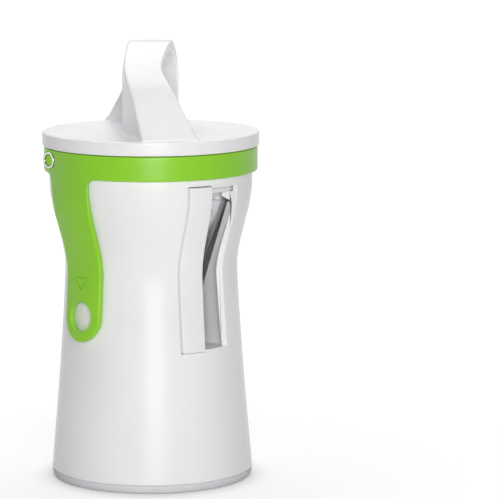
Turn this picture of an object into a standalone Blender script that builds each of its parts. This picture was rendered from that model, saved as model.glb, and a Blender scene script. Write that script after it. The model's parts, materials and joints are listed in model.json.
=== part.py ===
"""Hand cranked vegetable spiralizer, modelled as its separate pieces.

Metres, +Z up. The origin is the centre of the underside. The outlet window faces -Y and the
collar's tab hangs on the -X side. Sizes at the top drive everything below them.
"""

import math

import bmesh
import bpy
from mathutils import Matrix, Vector

# Gaps between pieces
GAP = 0.0003
RUN_GAP = 0.0005

# Facets of turned pieces
ROUND = 48
FINE_ROUND = 20

# Collar ring, whose radius the other round pieces follow
BAND_R = 0.0460
BAND_WALL = 0.0025
BAND_SKIRT_WALL = 0.0020
BAND_INNER_R = BAND_R - BAND_WALL

# Body outline
SHOULDER_R = BAND_R - BAND_SKIRT_WALL - GAP
SHELL_TOP_Z = 0.136
SHOULDER_Z = SHELL_TOP_Z - 0.0070
FOOT_R = SHOULDER_R - 0.0001
WAIST_R = SHOULDER_R * 0.851
WAIST_Z = 0.092
FOOT_CURVE = 1.25
SHELL_WALL = 0.0022

# Base
PAD_HEIGHT = 0.0032
PAD_EDGE = 0.0009
PAD_INSET = 0.0003
COVER_THICK = 0.0025
BOSS_R = 0.0032
BASE_BOSS_HEIGHT = 0.0095

# Screws
SCREW_HEAD_R = 0.0016
SCREW_HEAD_H = 0.0011
SCREW_SHANK_R = 0.0010
SCREW_LENGTH = 0.0060

# Bayonet between collar and body
CATCH_DROP = 0.0018
CATCH_THICK = 0.0017
LUG_THICK = 0.0016
LUG_ANGLE = math.radians(16)
STOP_ANGLE = math.radians(3)
BAYONET_OVERLAP = 0.0013
SEAL_THICK = 0.0010

# Hopper inside the collar
HOPPER_STEP = 0.0059
HOPPER_TAPER = 0.0012
HOPPER_WALL = 0.0018
HOPPER_NECK_R = BAND_INNER_R - HOPPER_STEP
HOPPER_MOUTH_R = HOPPER_NECK_R - HOPPER_TAPER

# Cutting cone
FLANGE_THICK = 0.0020
LEDGE_THICK = 0.0022
CONE_INSET = 0.0014
CONE_MOUTH_R = HOPPER_MOUTH_R - CONE_INSET
CONE_TIP_R = CONE_MOUTH_R * 0.2
CONE_TIP_Z = 0.0620
CONE_WALL = 0.0020
CORE_TUBE = 0.0030
SLOT_LEFT = 0.0042
SLOT_RIGHT = 0.0012
SLOT_END = 0.0055

# Blade, lying along the cone's slot
BLADE_WIDTH = 0.0095
BLADE_THICK = 0.0006
BLADE_TILT = math.radians(16)
BLADE_LIFT = 0.0003
SEAT_THICK = 0.0030

# Outlet window and the comb insert that fills its left side
WINDOW_TOP_Z = SHELL_TOP_Z - 0.0065
WINDOW_BOTTOM_Z = 0.0600
STRIP_LEFT = 0.0143
STRIP_RIGHT = 0.0040
STRIP_PROUD = 0.0010
STRIP_SUNK = 0.0012
STRIP_OVERRUN = 0.0008
SCOOP_R = 0.0140
SCOOP_X = 0.0015
SCOOP_DEPTH = 0.0055
WEB_THICK = 0.0014
WEB_GAP = 0.0010
COMB_THICK = 0.0005
COMB_BODY = 0.0050
COMB_TOOTH = 0.0030
COMB_PITCH = 0.0055
RIVET_R = 0.0009
RIVET_HEAD_H = 0.0008
CHUTE_WALL = 0.0015
CHUTE_RIGHT = 0.0122
CHUTE_CLEAR = 0.0040

# Collar's heights and tab
COLLAR_TOP_Z = SHELL_TOP_Z + 0.0080
BAND_SKIRT = 0.0025
GUIDE_LEDGE_DROP = 0.0035
GUIDE_LEDGE_R = BAND_INNER_R - 0.0012
TAB_CLEAR = 0.0007
TAB_THICK = 0.0027
TAB_BOTTOM_Z = 0.0630
TAB_HALF = 0.0104
TAB_CENTRE_Y = -0.0014
TAB_TOP_FRONT = 0.0108
TAB_TOP_BACK = 0.0150
TAB_HOLE_R = 0.0063
TAB_HOLE_UP = 0.0108
MARK_WIDTH = 0.0088
MARK_HEIGHT = 0.0056
MARK_UP = 0.0222
MARK_DEPTH = 0.0005
MARK_LINE = 0.0008

# Release button on the collar
BUTTON_Y = 0.0146
BUTTON_DROP = 0.0044
BUTTON_FACE_X = -(BAND_R - 0.0015)
BUTTON_R = 0.0023
BEZEL_R = 0.0035
BEZEL_THICK = 0.0007
BEZEL_SUNK = 0.0005
BUTTON_TRAVEL = 0.0006

# Food holder
DISC_R = BAND_R + 0.0007
DISC_SIDE = 0.0060
DISC_TOP_WALL = 0.0025
DISC_EDGE = 0.0008
GUIDE_R = BAND_INNER_R - RUN_GAP
GUIDE_WALL = 0.0036
GUIDE_INNER_R = GUIDE_R - GUIDE_WALL
SKIRT_R = GUIDE_INNER_R - RUN_GAP - 0.0001
SKIRT_WALL = 0.0020
SNAP_THICK = 0.0006
SNAP_REACH = 0.0018
PLATE_R = SKIRT_R - SKIRT_WALL - 0.0018
PLATE_THICK = 0.0010
PLATE_DROP = 0.0045
SPIKE_R = 0.0011
SPIKE_LENGTH = 0.0125
SPIKE_POINT = 0.0040
SPIKE_HEAD_R = 0.0020
SPIKE_HEAD_H = 0.0007
SPIKE_RING = PLATE_R * 0.63
SPIKE_COUNT = 6
PLATE_SCREW_RING = PLATE_R * 0.37
HANDLE_TURN = math.radians(-41)
HANDLE_RISE = 0.0390
HANDLE_EDGE = 0.0011
HANDLE_STEPS = 4

# Levels worked out from the sizes above
SHELL_BOTTOM_Z = PAD_HEIGHT + GAP
CATCH_TOP_Z = SHELL_TOP_Z - CATCH_DROP
CATCH_BOTTOM_Z = CATCH_TOP_Z - CATCH_THICK
LUG_TOP_Z = CATCH_BOTTOM_Z - GAP
LUG_BOTTOM_Z = LUG_TOP_Z - LUG_THICK
SEAL_TOP_Z = LUG_BOTTOM_Z - GAP
SEAL_BOTTOM_Z = SEAL_TOP_Z - SEAL_THICK
FLANGE_TOP_Z = SEAL_BOTTOM_Z - GAP
FLANGE_BOTTOM_Z = FLANGE_TOP_Z - FLANGE_THICK
LEDGE_TOP_Z = FLANGE_BOTTOM_Z - GAP
LEDGE_BOTTOM_Z = LEDGE_TOP_Z - LEDGE_THICK
GUIDE_LEDGE_Z = COLLAR_TOP_Z - GUIDE_LEDGE_DROP
CAP_BOTTOM_Z = COLLAR_TOP_Z + GAP
CAP_TOP_Z = CAP_BOTTOM_Z + DISC_SIDE
PLATE_TOP_Z = CAP_TOP_Z - DISC_TOP_WALL - PLATE_DROP

# Directions along and across the cone's slot, which lies in the plane x = 0
CONE_SLOPE = (CONE_MOUTH_R - CONE_TIP_R) / (FLANGE_TOP_Z - CONE_TIP_Z)
CONE_ANGLE = math.atan(CONE_SLOPE)
FLANGE_R = SHOULDER_R - SHELL_WALL - GAP * 3
SCREW_RING = FLANGE_R - SCREW_HEAD_R - GAP * 2.6
BASE_SCREW_RING = FOOT_R - SHELL_WALL - BOSS_R * 0.8
LEDGE_R = CONE_MOUTH_R + CONE_WALL * 0.95
THREE_WAYS = [math.radians(a) for a in (70, 180, 290)]
LUG_WAYS = [math.radians(a) for a in (55, 175, 295)]

for old in list(bpy.data.objects):
    bpy.data.objects.remove(old, do_unlink=True)

parts = bpy.data.collections.new("spiralizer")
cutters = bpy.data.collections.new("cutters")
cutters.hide_render = True
bpy.context.scene.collection.children.link(parts)
bpy.context.scene.collection.children.link(cutters)


def material(name, colour, roughness, metallic=0.0):
    made = bpy.data.materials.new(name)
    made.use_nodes = True
    shader = made.node_tree.nodes["Principled BSDF"]
    shader.inputs["Base Color"].default_value = (*colour, 1)
    shader.inputs["Roughness"].default_value = roughness
    shader.inputs["Metallic"].default_value = metallic
    return made


def link(mesh, name):
    """A new object that starts as a cutter; finish() makes it a part."""
    obj = bpy.data.objects.new(name, mesh)
    cutters.objects.link(obj)
    obj.hide_render = True
    obj.display_type = "WIRE"
    return obj


def finish(obj, colour, roughness, metallic=0.0):
    """Makes the object a sub-part with its own material."""
    cutters.objects.unlink(obj)
    parts.objects.link(obj)
    obj.hide_render = False
    obj.display_type = "TEXTURED"
    obj.data.materials.clear()
    obj.data.materials.append(material(obj.name + "_material", colour, roughness, metallic))
    obj.data.set_sharp_from_angle(angle=math.radians(35))
    return obj


def turned(name, outline, steps=ROUND):
    """A closed (radius, height) outline turned about Z. It runs down its outer side."""
    mesh = bpy.data.meshes.new(name)
    count = len(outline)
    on_axis = outline[0][0] == 0 and outline[-1][0] == 0
    edges = [(i, i + 1) for i in range(count - 1)]
    if not on_axis:
        edges.append((count - 1, 0))
    mesh.from_pydata([(r, 0, z) for r, z in outline], edges, [])
    obj = link(mesh, name)
    screw = obj.modifiers.new("turn", "SCREW")
    screw.steps = screw.render_steps = steps
    screw.use_merge_vertices = True
    screw.merge_threshold = 0.00001
    screw.use_smooth_shade = True
    return obj


def box(name, low, high, turn=None):
    """A box between two corners, then turned by the matrix if one is given."""
    bm = bmesh.new()
    bmesh.ops.create_cube(bm, size=1)
    size = [h - l for l, h in zip(low, high)]
    middle = Vector([(h + l) / 2 for l, h in zip(low, high)])
    bmesh.ops.scale(bm, vec=size, verts=bm.verts)
    bmesh.ops.translate(bm, vec=middle, verts=bm.verts)
    if turn is not None:
        bmesh.ops.transform(bm, matrix=turn, verts=bm.verts)
    mesh = bpy.data.meshes.new(name)
    bm.to_mesh(mesh)
    bm.free()
    return link(mesh, name)


def rod(name, radius, low, high, end_radius=None, steps=FINE_ROUND, place=None):
    """A cylinder or cone along Z from low to high, moved by the matrix if one is given."""
    bm = bmesh.new()
    bmesh.ops.create_cone(
        bm,
        cap_ends=True,
        segments=steps,
        radius1=radius,
        radius2=radius if end_radius is None else end_radius,
        depth=high - low,
        matrix=Matrix.Translation((0, 0, (low + high) / 2)),
    )
    if place is not None:
        bmesh.ops.transform(bm, matrix=place, verts=bm.verts)
    mesh = bpy.data.meshes.new(name)
    bm.to_mesh(mesh)
    bm.free()
    return link(mesh, name)


def flat_outline(name, points, thickness, place):
    """A flat outline in its own XY plane, given a thickness along its Z, then placed."""
    curve = bpy.data.curves.new(name + "_outline", "CURVE")
    curve.dimensions = "2D"
    curve.fill_mode = "BOTH"
    curve.extrude = thickness / 2
    spline = curve.splines.new("POLY")
    spline.points.add(len(points) - 1)
    for spot, (x, y) in zip(spline.points, points):
        spot.co = (x, y, 0, 1)
    spline.use_cyclic_u = True
    drawn = bpy.data.objects.new(name + "_curve", curve)
    bpy.context.scene.collection.objects.link(drawn)
    drawn.matrix_world = place
    bpy.context.view_layer.update()
    graph = bpy.context.evaluated_depsgraph_get()
    mesh = bpy.data.meshes.new_from_object(drawn.evaluated_get(graph))
    bm = bmesh.new()
    bm.from_mesh(mesh)
    bmesh.ops.remove_doubles(bm, verts=bm.verts, dist=0.000001)
    bmesh.ops.dissolve_degenerate(bm, edges=bm.edges, dist=0.000001)
    bmesh.ops.dissolve_limit(bm, angle_limit=math.radians(0.5), verts=bm.verts, edges=bm.edges)
    bmesh.ops.recalc_face_normals(bm, faces=bm.faces)
    bm.to_mesh(mesh)
    bm.free()
    mesh.name = name
    obj = link(mesh, name)
    obj.matrix_world = place
    bpy.data.objects.remove(drawn)
    return obj


def combine(obj, other, operation, solver="EXACT"):
    step = obj.modifiers.new(operation.lower(), "BOOLEAN")
    step.operation = operation
    step.solver = solver
    step.object = other
    return obj


def cut(obj, *tools, solver="EXACT"):
    for tool in tools:
        combine(obj, tool, "DIFFERENCE", solver)
    return obj


def join(obj, *others, solver="EXACT"):
    for other in others:
        combine(obj, other, "UNION", solver)
    return obj


def body_r(z):
    """Outer radius of the hourglass body at a height."""
    if z < WAIST_Z:
        share = (WAIST_Z - z) / (WAIST_Z - SHELL_BOTTOM_Z)
        return WAIST_R + (FOOT_R - WAIST_R) * max(share, 0) ** FOOT_CURVE
    share = min((z - WAIST_Z) / (SHOULDER_Z - WAIST_Z), 1)
    return WAIST_R + (SHOULDER_R - WAIST_R) * (3 - 2 * share) * share**2


def between(low, high, count):
    return [low + (high - low) * i / count for i in range(count + 1)]


BODY_LEVELS = between(SHELL_BOTTOM_Z, WAIST_Z, 6)[:-1] + between(WAIST_Z, SHOULDER_Z, 8)


def body_side(low, high, offset):
    """Points of the body's side, moved out by the offset, from low to high."""
    levels = [low] + [z for z in BODY_LEVELS if low + 0.001 < z < high - 0.001] + [high]
    return [(body_r(z) + offset, z) for z in levels]


def around(angle, radius, z=0.0):
    """A place at this angle from -Y, turning towards +X."""
    return Vector((radius * math.sin(angle), -radius * math.cos(angle), z))


def sector(name, inner, outer, low, high, middle, width):
    """A block that fills part of a turn between two radii, as a lug or a catch does."""
    steps = 4
    points = [(outer, a) for a in between(middle - width / 2, middle + width / 2, steps)]
    points += [(inner, a) for a in between(middle + width / 2, middle - width / 2, steps)]
    flat = [(r * math.sin(a), -r * math.cos(a)) for r, a in points]
    place = Matrix.Translation((0, 0, (low + high) / 2))
    return flat_outline(name, flat, high - low, place)


def cone_r(z):
    """Inner radius of the cutting cone at a height."""
    return CONE_TIP_R + (z - CONE_TIP_Z) * CONE_SLOPE


def slot_frame(z):
    """Matrix whose X runs across the slot, Y up along it and Z out of the cone."""
    along = Vector((0, -math.sin(CONE_ANGLE), math.cos(CONE_ANGLE)))
    outward = Vector((0, -math.cos(CONE_ANGLE), -math.sin(CONE_ANGLE)))
    across = along.cross(outward)
    frame = Matrix((across, along, outward)).transposed().to_4x4()
    frame.translation = Vector((0, -cone_r(z), z))
    return frame


SLOT_BOTTOM_Z = CONE_TIP_Z + SLOT_END
SLOT_TOP_Z = LEDGE_BOTTOM_Z
SLOT_MIDDLE_Z = (SLOT_BOTTOM_Z + SLOT_TOP_Z) / 2
SLOT_LENGTH = (SLOT_TOP_Z - SLOT_BOTTOM_Z) / math.cos(CONE_ANGLE)
BLADE_LENGTH = SLOT_LENGTH - 0.002


def blade_frame():
    """The slot's frame tilted about its length, so that the edge reaches into the cone."""
    edge = Matrix.Translation((-SLOT_RIGHT / 2, 0, -BLADE_LIFT))
    return slot_frame(SLOT_MIDDLE_Z) @ edge @ Matrix.Rotation(-BLADE_TILT, 4, "Y")


def screw(name, place, washer=0.0):
    """A small pan head screw. Its head's underside is at the origin and it runs down -Z."""
    head = rod(name, SCREW_HEAD_R, washer, washer + SCREW_HEAD_H, steps=12, place=place)
    shank = rod(name + "_shank", SCREW_SHANK_R, -SCREW_LENGTH, washer + 0.0002, steps=10, place=place)
    join(head, shank)
    return finish(head, (0.62, 0.63, 0.65), 0.3, 1.0)


def outer_shell():
    outline = [(SHOULDER_R - GAP, SHELL_TOP_Z)]
    outline += body_side(SHELL_BOTTOM_Z, SHELL_TOP_Z - GAP, 0)[::-1]
    outline += body_side(SHELL_BOTTOM_Z, LEDGE_BOTTOM_Z - LEDGE_THICK, -SHELL_WALL)
    outline += [(LEDGE_R, LEDGE_BOTTOM_Z)]
    outline += [(LEDGE_R, LEDGE_TOP_Z)]
    outline += [(body_r(LEDGE_TOP_Z) - SHELL_WALL, LEDGE_TOP_Z), (SHOULDER_R - SHELL_WALL, SHELL_TOP_Z)]
    shell = turned("outer_shell", outline)
    for n, angle in enumerate(THREE_WAYS):
        spot = Matrix.Translation(around(angle, SCREW_RING))
        shank_end = LEDGE_TOP_Z - SCREW_LENGTH
        boss = rod(f"ledge_boss_{n}", SCREW_SHANK_R * 2.4, shank_end - 0.002, LEDGE_TOP_Z, place=spot)
        hole = rod(f"ledge_hole_{n}", SCREW_SHANK_R + GAP, shank_end - 0.001, LEDGE_TOP_Z + 0.001,
                   steps=12, place=spot)
        base_spot = Matrix.Translation(around(angle, BASE_SCREW_RING))
        low = SHELL_BOTTOM_Z + COVER_THICK + GAP
        foot = rod(f"base_boss_{n}", BOSS_R, low, low + BASE_BOSS_HEIGHT, place=base_spot)
        foot_hole = rod(f"base_hole_{n}", SCREW_SHANK_R + GAP, low - 0.001, low + SCREW_LENGTH,
                        steps=12, place=base_spot)
        join(shell, boss, foot)
        cut(shell, hole, foot_hole)
    room_r = CONE_WALL / math.cos(CONE_ANGLE) + GAP
    room_top = LEDGE_TOP_Z + 0.001
    cone_room = turned("cone_room", [(0, room_top), (cone_r(room_top) + room_r, room_top),
                                     (cone_r(WAIST_Z) + room_r, WAIST_Z), (0, WAIST_Z)])
    cut(shell, cone_room)
    top = body_r(CATCH_TOP_Z) - SHELL_WALL / 2
    inner = hopper_outer_r(CATCH_TOP_Z) + RUN_GAP
    for n, middle in enumerate(LUG_WAYS):
        catch = sector(f"catch_{n}", inner, top, CATCH_BOTTOM_Z, CATCH_TOP_Z, middle, LUG_ANGLE)
        beside = middle + (LUG_ANGLE + STOP_ANGLE) / 2 + math.radians(1)
        stop = sector(f"stop_{n}", inner + 0.0008, top, FLANGE_TOP_Z + 0.001, CATCH_TOP_Z, beside,
                      STOP_ANGLE)
        bridge = sector(f"bridge_{n}", inner + 0.0008, top, CATCH_BOTTOM_Z, CATCH_TOP_Z,
                        middle + LUG_ANGLE / 2, STOP_ANGLE)
        join(shell, catch, stop, bridge)
    reach = FOOT_R + 0.01
    window = box("window", (-STRIP_RIGHT - 0.001, -reach, WINDOW_BOTTOM_Z),
                 (SCOOP_X + 0.003, -CONE_TIP_R, WINDOW_TOP_Z))
    pocket = box("strip_pocket", (-STRIP_LEFT - GAP, -reach, WINDOW_BOTTOM_Z - STRIP_OVERRUN - GAP),
                 (-STRIP_RIGHT + GAP, -CONE_TIP_R, WINDOW_TOP_Z + STRIP_OVERRUN + GAP))
    scoop_y = -(WAIST_R + SCOOP_R - SCOOP_DEPTH)
    scoop = rod("scoop", SCOOP_R, WINDOW_BOTTOM_Z, WINDOW_TOP_Z, steps=48,
                place=Matrix.Translation((-SCOOP_X, scoop_y, 0)))
    cut(shell, window, pocket, scoop)
    return finish(shell, (0.90, 0.90, 0.91), 0.3)


def base_pieces():
    pad_r = FOOT_R - PAD_INSET
    pad = turned("base_pad", [(0, PAD_HEIGHT), (pad_r, PAD_HEIGHT), (pad_r, PAD_EDGE),
                              (pad_r - PAD_EDGE * 0.3, PAD_EDGE * 0.3), (pad_r - PAD_EDGE, 0), (0, 0)])
    finish(pad, (0.42, 0.42, 0.45), 0.75)
    top = SHELL_BOTTOM_Z + COVER_THICK
    cover_r = body_r(top) - SHELL_WALL - GAP
    cover = turned("base_cover", [(0, top), (cover_r, top), (cover_r, SHELL_BOTTOM_Z), (0, SHELL_BOTTOM_Z)])
    for n, angle in enumerate(THREE_WAYS):
        spot = around(angle, BASE_SCREW_RING)
        hole = rod(f"cover_hole_{n}", SCREW_SHANK_R + GAP, SHELL_BOTTOM_Z - 0.001, top + 0.001,
                   steps=12, place=Matrix.Translation(spot))
        sink = rod(f"cover_sink_{n}", SCREW_HEAD_R + GAP, SHELL_BOTTOM_Z - 0.001,
                   SHELL_BOTTOM_Z + SCREW_HEAD_H + GAP, steps=16, place=Matrix.Translation(spot))
        cut(cover, hole, sink)
        spot.z = SHELL_BOTTOM_Z + SCREW_HEAD_H
        screw(f"base_screw_{n + 1}", Matrix.Translation(spot) @ Matrix.Rotation(math.pi, 4, "X"))
    finish(cover, (0.85, 0.85, 0.86), 0.45)


def cutting_cone():
    lip = CONE_WALL / math.cos(CONE_ANGLE)
    tube_z = CONE_TIP_Z - CORE_TUBE
    outline = [(FLANGE_R, FLANGE_TOP_Z), (FLANGE_R, FLANGE_BOTTOM_Z),
               (cone_r(FLANGE_BOTTOM_Z) + lip, FLANGE_BOTTOM_Z), (CONE_TIP_R + lip, CONE_TIP_Z),
               (CONE_TIP_R + lip, tube_z), (CONE_TIP_R, tube_z), (CONE_TIP_R, CONE_TIP_Z),
               (CONE_MOUTH_R, FLANGE_TOP_Z)]
    cone = turned("cutting_cone", outline)
    frame = blade_frame()
    half = BLADE_LENGTH / 2
    seat = box("blade_seat", (SLOT_RIGHT, -half - 0.001, -SEAT_THICK - GAP),
               (BLADE_WIDTH, half + 0.001, -GAP), frame)
    above = FLANGE_TOP_Z + 0.002
    inside = turned("cone_inside", [(0, above), (cone_r(above), above), (CONE_TIP_R, CONE_TIP_Z),
                                    (CONE_TIP_R, tube_z - 0.002), (0, tube_z - 0.002)])
    room = box("blade_room", (-0.002, -half - GAP, -GAP), (BLADE_WIDTH + GAP, half + GAP, 0.004), frame)
    slot = box("cone_slot", (-SLOT_LEFT, -SLOT_LENGTH / 2, -0.004),
               (SLOT_RIGHT, SLOT_LENGTH / 2, CONE_WALL + 0.004), slot_frame(SLOT_MIDDLE_Z))
    far = FLANGE_R + 0.01
    near = LEDGE_R - GAP
    under_ledge = turned("under_ledge", [(far, FLANGE_BOTTOM_Z), (far, LEDGE_BOTTOM_Z - GAP),
                                         (near, LEDGE_BOTTOM_Z - GAP), (near, FLANGE_BOTTOM_Z)])
    cut(seat, inside, under_ledge, solver="MANIFOLD")
    join(cone, seat, solver="MANIFOLD")
    cut(cone, room, slot, solver="MANIFOLD")
    for n, along in enumerate((-1, 1)):
        place = frame @ Matrix.Translation((BLADE_WIDTH * 0.62, along * half * 0.8, 0))
        cut(cone, rod(f"blade_screw_hole_{n}", SCREW_SHANK_R * 0.8 + GAP, -SEAT_THICK - 0.003, 0.001,
                      steps=12, place=place), solver="MANIFOLD")
    for n, angle in enumerate(THREE_WAYS):
        spot = Matrix.Translation(around(angle, SCREW_RING))
        hole = rod(f"flange_hole_{n}", SCREW_SHANK_R + GAP, FLANGE_BOTTOM_Z - 0.001, FLANGE_TOP_Z + 0.001,
                   steps=12, place=spot)
        sink = rod(f"flange_sink_{n}", SCREW_HEAD_R + GAP, FLANGE_TOP_Z - SCREW_HEAD_H - GAP,
                   FLANGE_TOP_Z + 0.001, steps=16, place=spot)
        cut(cone, hole, sink, solver="MANIFOLD")
        seat_z = FLANGE_TOP_Z - SCREW_HEAD_H
        screw(f"cone_screw_{n + 1}", Matrix.Translation(around(angle, SCREW_RING, seat_z)))
    finish(cone, (0.90, 0.90, 0.91), 0.32)


def slicing_blade():
    frame = blade_frame()
    half = BLADE_LENGTH / 2
    section = [(0, 0), (BLADE_WIDTH, 0), (BLADE_WIDTH, BLADE_THICK), (BLADE_THICK * 2.5, BLADE_THICK)]
    stand = Matrix.Rotation(math.pi / 2, 4, "X")
    blade = flat_outline("slicing_blade", section, BLADE_LENGTH, frame @ stand)
    for n, along in enumerate((-1, 1)):
        place = frame @ Matrix.Translation((BLADE_WIDTH * 0.62, along * half * 0.8, 0))
        cut(blade, rod(f"blade_hole_{n}", SCREW_SHANK_R * 0.8 + GAP, -0.002, 0.002, steps=12, place=place))
        pin = place @ Matrix.Translation((0, 0, BLADE_THICK + GAP))
        head = rod(f"blade_screw_{n + 1}", SCREW_HEAD_R, 0, SCREW_HEAD_H * 0.8, steps=12, place=pin)
        shank = rod(f"blade_shank_{n}", SCREW_SHANK_R * 0.8, -SEAT_THICK, 0.0002, steps=10, place=pin)
        finish(join(head, shank), (0.62, 0.63, 0.65), 0.3, 1.0)
    finish(blade, (0.72, 0.73, 0.75), 0.22, 1.0)


def hopper_seal():
    outer = hopper_outer_r(LUG_BOTTOM_Z)
    inner = HOPPER_MOUTH_R
    seal = turned("hopper_seal", [(outer, SEAL_TOP_Z), (outer, SEAL_BOTTOM_Z), (inner, SEAL_BOTTOM_Z),
                                  (inner, SEAL_TOP_Z)])
    finish(seal, (0.55, 0.56, 0.58), 0.7)


def slant_edge(low, high, offset):
    """Two (y, z) points of a line that runs along the cone, this far out from its inner face."""
    out = offset / math.cos(CONE_ANGLE)
    return [(-(cone_r(z) + out), z) for z in (high, low)]


YZ_PLANE = Matrix(((0, 0, 1, 0), (1, 0, 0, 0), (0, 1, 0, 0), (0, 0, 0, 1)))


def upright(name, x, thickness, shell_offset, cone_offset, low, high):
    """A plate parallel to the YZ plane that fills the space between the shell and the cone."""
    points = [(-(math.sqrt((r + shell_offset) ** 2 - x**2)), z) for r, z in body_side(low, high, 0)]
    points += slant_edge(low, high, cone_offset)
    return flat_outline(name, points, thickness, Matrix.Translation((x, 0, 0)) @ YZ_PLANE)


def outlet_chute():
    low = WINDOW_BOTTOM_Z - CHUTE_WALL - GAP
    high = LEDGE_BOTTOM_Z - LEDGE_THICK - GAP
    inside = -SHELL_WALL - GAP * 2
    right = upright("chute_right", CHUTE_RIGHT, CHUTE_WALL, inside, CHUTE_CLEAR, low, high)
    left_x = -(STRIP_RIGHT + WEB_THICK + GAP + RUN_GAP + CHUTE_WALL / 2)
    left = upright("chute_left", left_x, CHUTE_WALL, inside - STRIP_SUNK, CONE_WALL + RUN_GAP, low, high)
    front = body_r(low) + inside - 0.0006
    back = cone_r(CONE_TIP_Z) + CONE_WALL + CONE_WALL
    floor = box("outlet_chute", (left_x - CHUTE_WALL / 2, -math.sqrt(front**2 - CHUTE_RIGHT**2), low),
                (CHUTE_RIGHT + CHUTE_WALL / 2, -back, low + CHUTE_WALL))
    join(floor, left, right)
    finish(floor, (0.88, 0.88, 0.89), 0.4)


def comb_insert():
    low = WINDOW_BOTTOM_Z - STRIP_OVERRUN
    high = WINDOW_TOP_Z + STRIP_OVERRUN
    outline = body_side(low, high, STRIP_PROUD)[::-1] + body_side(low, high, -STRIP_SUNK)
    face = turned("insert_face", outline)
    keep = box("strip_keep", (-STRIP_LEFT, -FOOT_R - 0.01, low - 0.001), (-STRIP_RIGHT, 0, high + 0.001))
    combine(face, keep, "INTERSECT")
    web_x = -STRIP_RIGHT - WEB_THICK / 2 - GAP
    web = upright("insert_web", web_x, WEB_THICK, -STRIP_SUNK * 0.5, CONE_WALL + WEB_GAP,
                  WINDOW_BOTTOM_Z + 0.004, LEDGE_BOTTOM_Z - 0.002)
    join(face, web)
    finish(face, (0.90, 0.90, 0.91), 0.3)

    comb_x = web_x + WEB_THICK / 2 + GAP + COMB_THICK / 2
    frame = slot_frame(SLOT_MIDDLE_Z)
    length = SLOT_LENGTH - 0.006
    count = int(length / COMB_PITCH)
    back = CONE_WALL + WEB_GAP + COMB_BODY
    root = CONE_WALL + 0.0004
    start = -count * COMB_PITCH / 2
    gullet = root + COMB_BODY * 0.2
    points = [(start, back)]
    for n in range(count):
        foot = start + n * COMB_PITCH
        points += [(foot, gullet), (foot + COMB_PITCH * 0.36, root),
                   (foot + COMB_PITCH * 0.44, -COMB_TOOTH),
                   (foot + COMB_PITCH * 0.58, -COMB_TOOTH + 0.0006),
                   (foot + COMB_PITCH * 0.66, root)]
    points += [(-start, gullet), (-start, back)]
    side = frame @ Matrix.Translation((comb_x, 0, 0)) @ YZ_PLANE
    comb = flat_outline("julienne_comb", points, COMB_THICK, side)
    for n, along in enumerate((-1, 1)):
        place = (frame @ Matrix.Translation((comb_x, along * length * 0.38, back - COMB_BODY * 0.35))
                 @ Matrix.Rotation(math.pi / 2, 4, "Y"))
        reach = COMB_THICK / 2 + GAP + WEB_THICK
        hole = rod(f"rivet_hole_{n}", RIVET_R + GAP, -reach - 0.001, 0.001, steps=12, place=place)
        cut(comb, hole, solver="MANIFOLD")
        cut(face, hole)
        face_x = COMB_THICK / 2 + GAP
        pin = rod(f"comb_rivet_{n + 1}", RIVET_R, -reach, face_x + RIVET_HEAD_H / 2, steps=12, place=place)
        head = rod(f"rivet_head_{n}", RIVET_R * 1.9, face_x, face_x + RIVET_HEAD_H, steps=12, place=place)
        finish(join(pin, head), (0.70, 0.71, 0.73), 0.3, 1.0)
    finish(comb, (0.72, 0.73, 0.75), 0.22, 1.0)


def hopper_inner():
    """The collar's inner side from its bottom up, as (radius, height)."""
    neck_z = GUIDE_LEDGE_Z - (GUIDE_LEDGE_R - HOPPER_NECK_R) * 1.1
    return [(HOPPER_MOUTH_R, LUG_BOTTOM_Z), (HOPPER_NECK_R, neck_z), (GUIDE_LEDGE_R, GUIDE_LEDGE_Z),
            (BAND_INNER_R, GUIDE_LEDGE_Z)]


def hopper_outer_r(z):
    """Outer radius of the hopper's lower wall at a height."""
    (mouth_r, mouth_z), (neck_r, neck_z) = hopper_inner()[:2]
    share = min(max((z - mouth_z) / (neck_z - mouth_z), 0), 1)
    return mouth_r + (neck_r - mouth_r) * share + HOPPER_WALL


def button_place():
    """Matrix at the button's face whose Z points out of the collar, along -X."""
    centre = Vector((BUTTON_FACE_X, BUTTON_Y, COLLAR_TOP_Z - BUTTON_DROP))
    return Matrix.Translation(centre) @ Matrix.Rotation(-math.pi / 2, 4, "Y")


def tab_outline():
    """The tab's (y, z) outline: a round end, straight sides and a flare into the ring."""
    centre_z = TAB_BOTTOM_Z + TAB_HALF
    end = [(TAB_CENTRE_Y + TAB_HALF * math.cos(a), centre_z + TAB_HALF * math.sin(a))
           for a in between(math.pi, 2 * math.pi, 12)]
    top = COLLAR_TOP_Z - 0.001
    skirt_z = SHELL_TOP_Z - BAND_SKIRT
    flare = [(share, skirt_z - (skirt_z - WAIST_Z) * drop) for share, drop in
             ((0.0, 1.0), (0.12, 0.75), (0.45, 0.45), (0.85, 0.15), (1.0, 0.0))]
    back_low = TAB_CENTRE_Y + TAB_HALF
    front_low = TAB_CENTRE_Y - TAB_HALF
    right = [(back_low + (TAB_TOP_BACK - back_low) * share, z) for share, z in flare]
    left = [(front_low + (-TAB_TOP_FRONT - front_low) * share, z) for share, z in flare]
    return end + right + [(TAB_TOP_BACK, top), (-TAB_TOP_FRONT, top)] + left[::-1]


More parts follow.
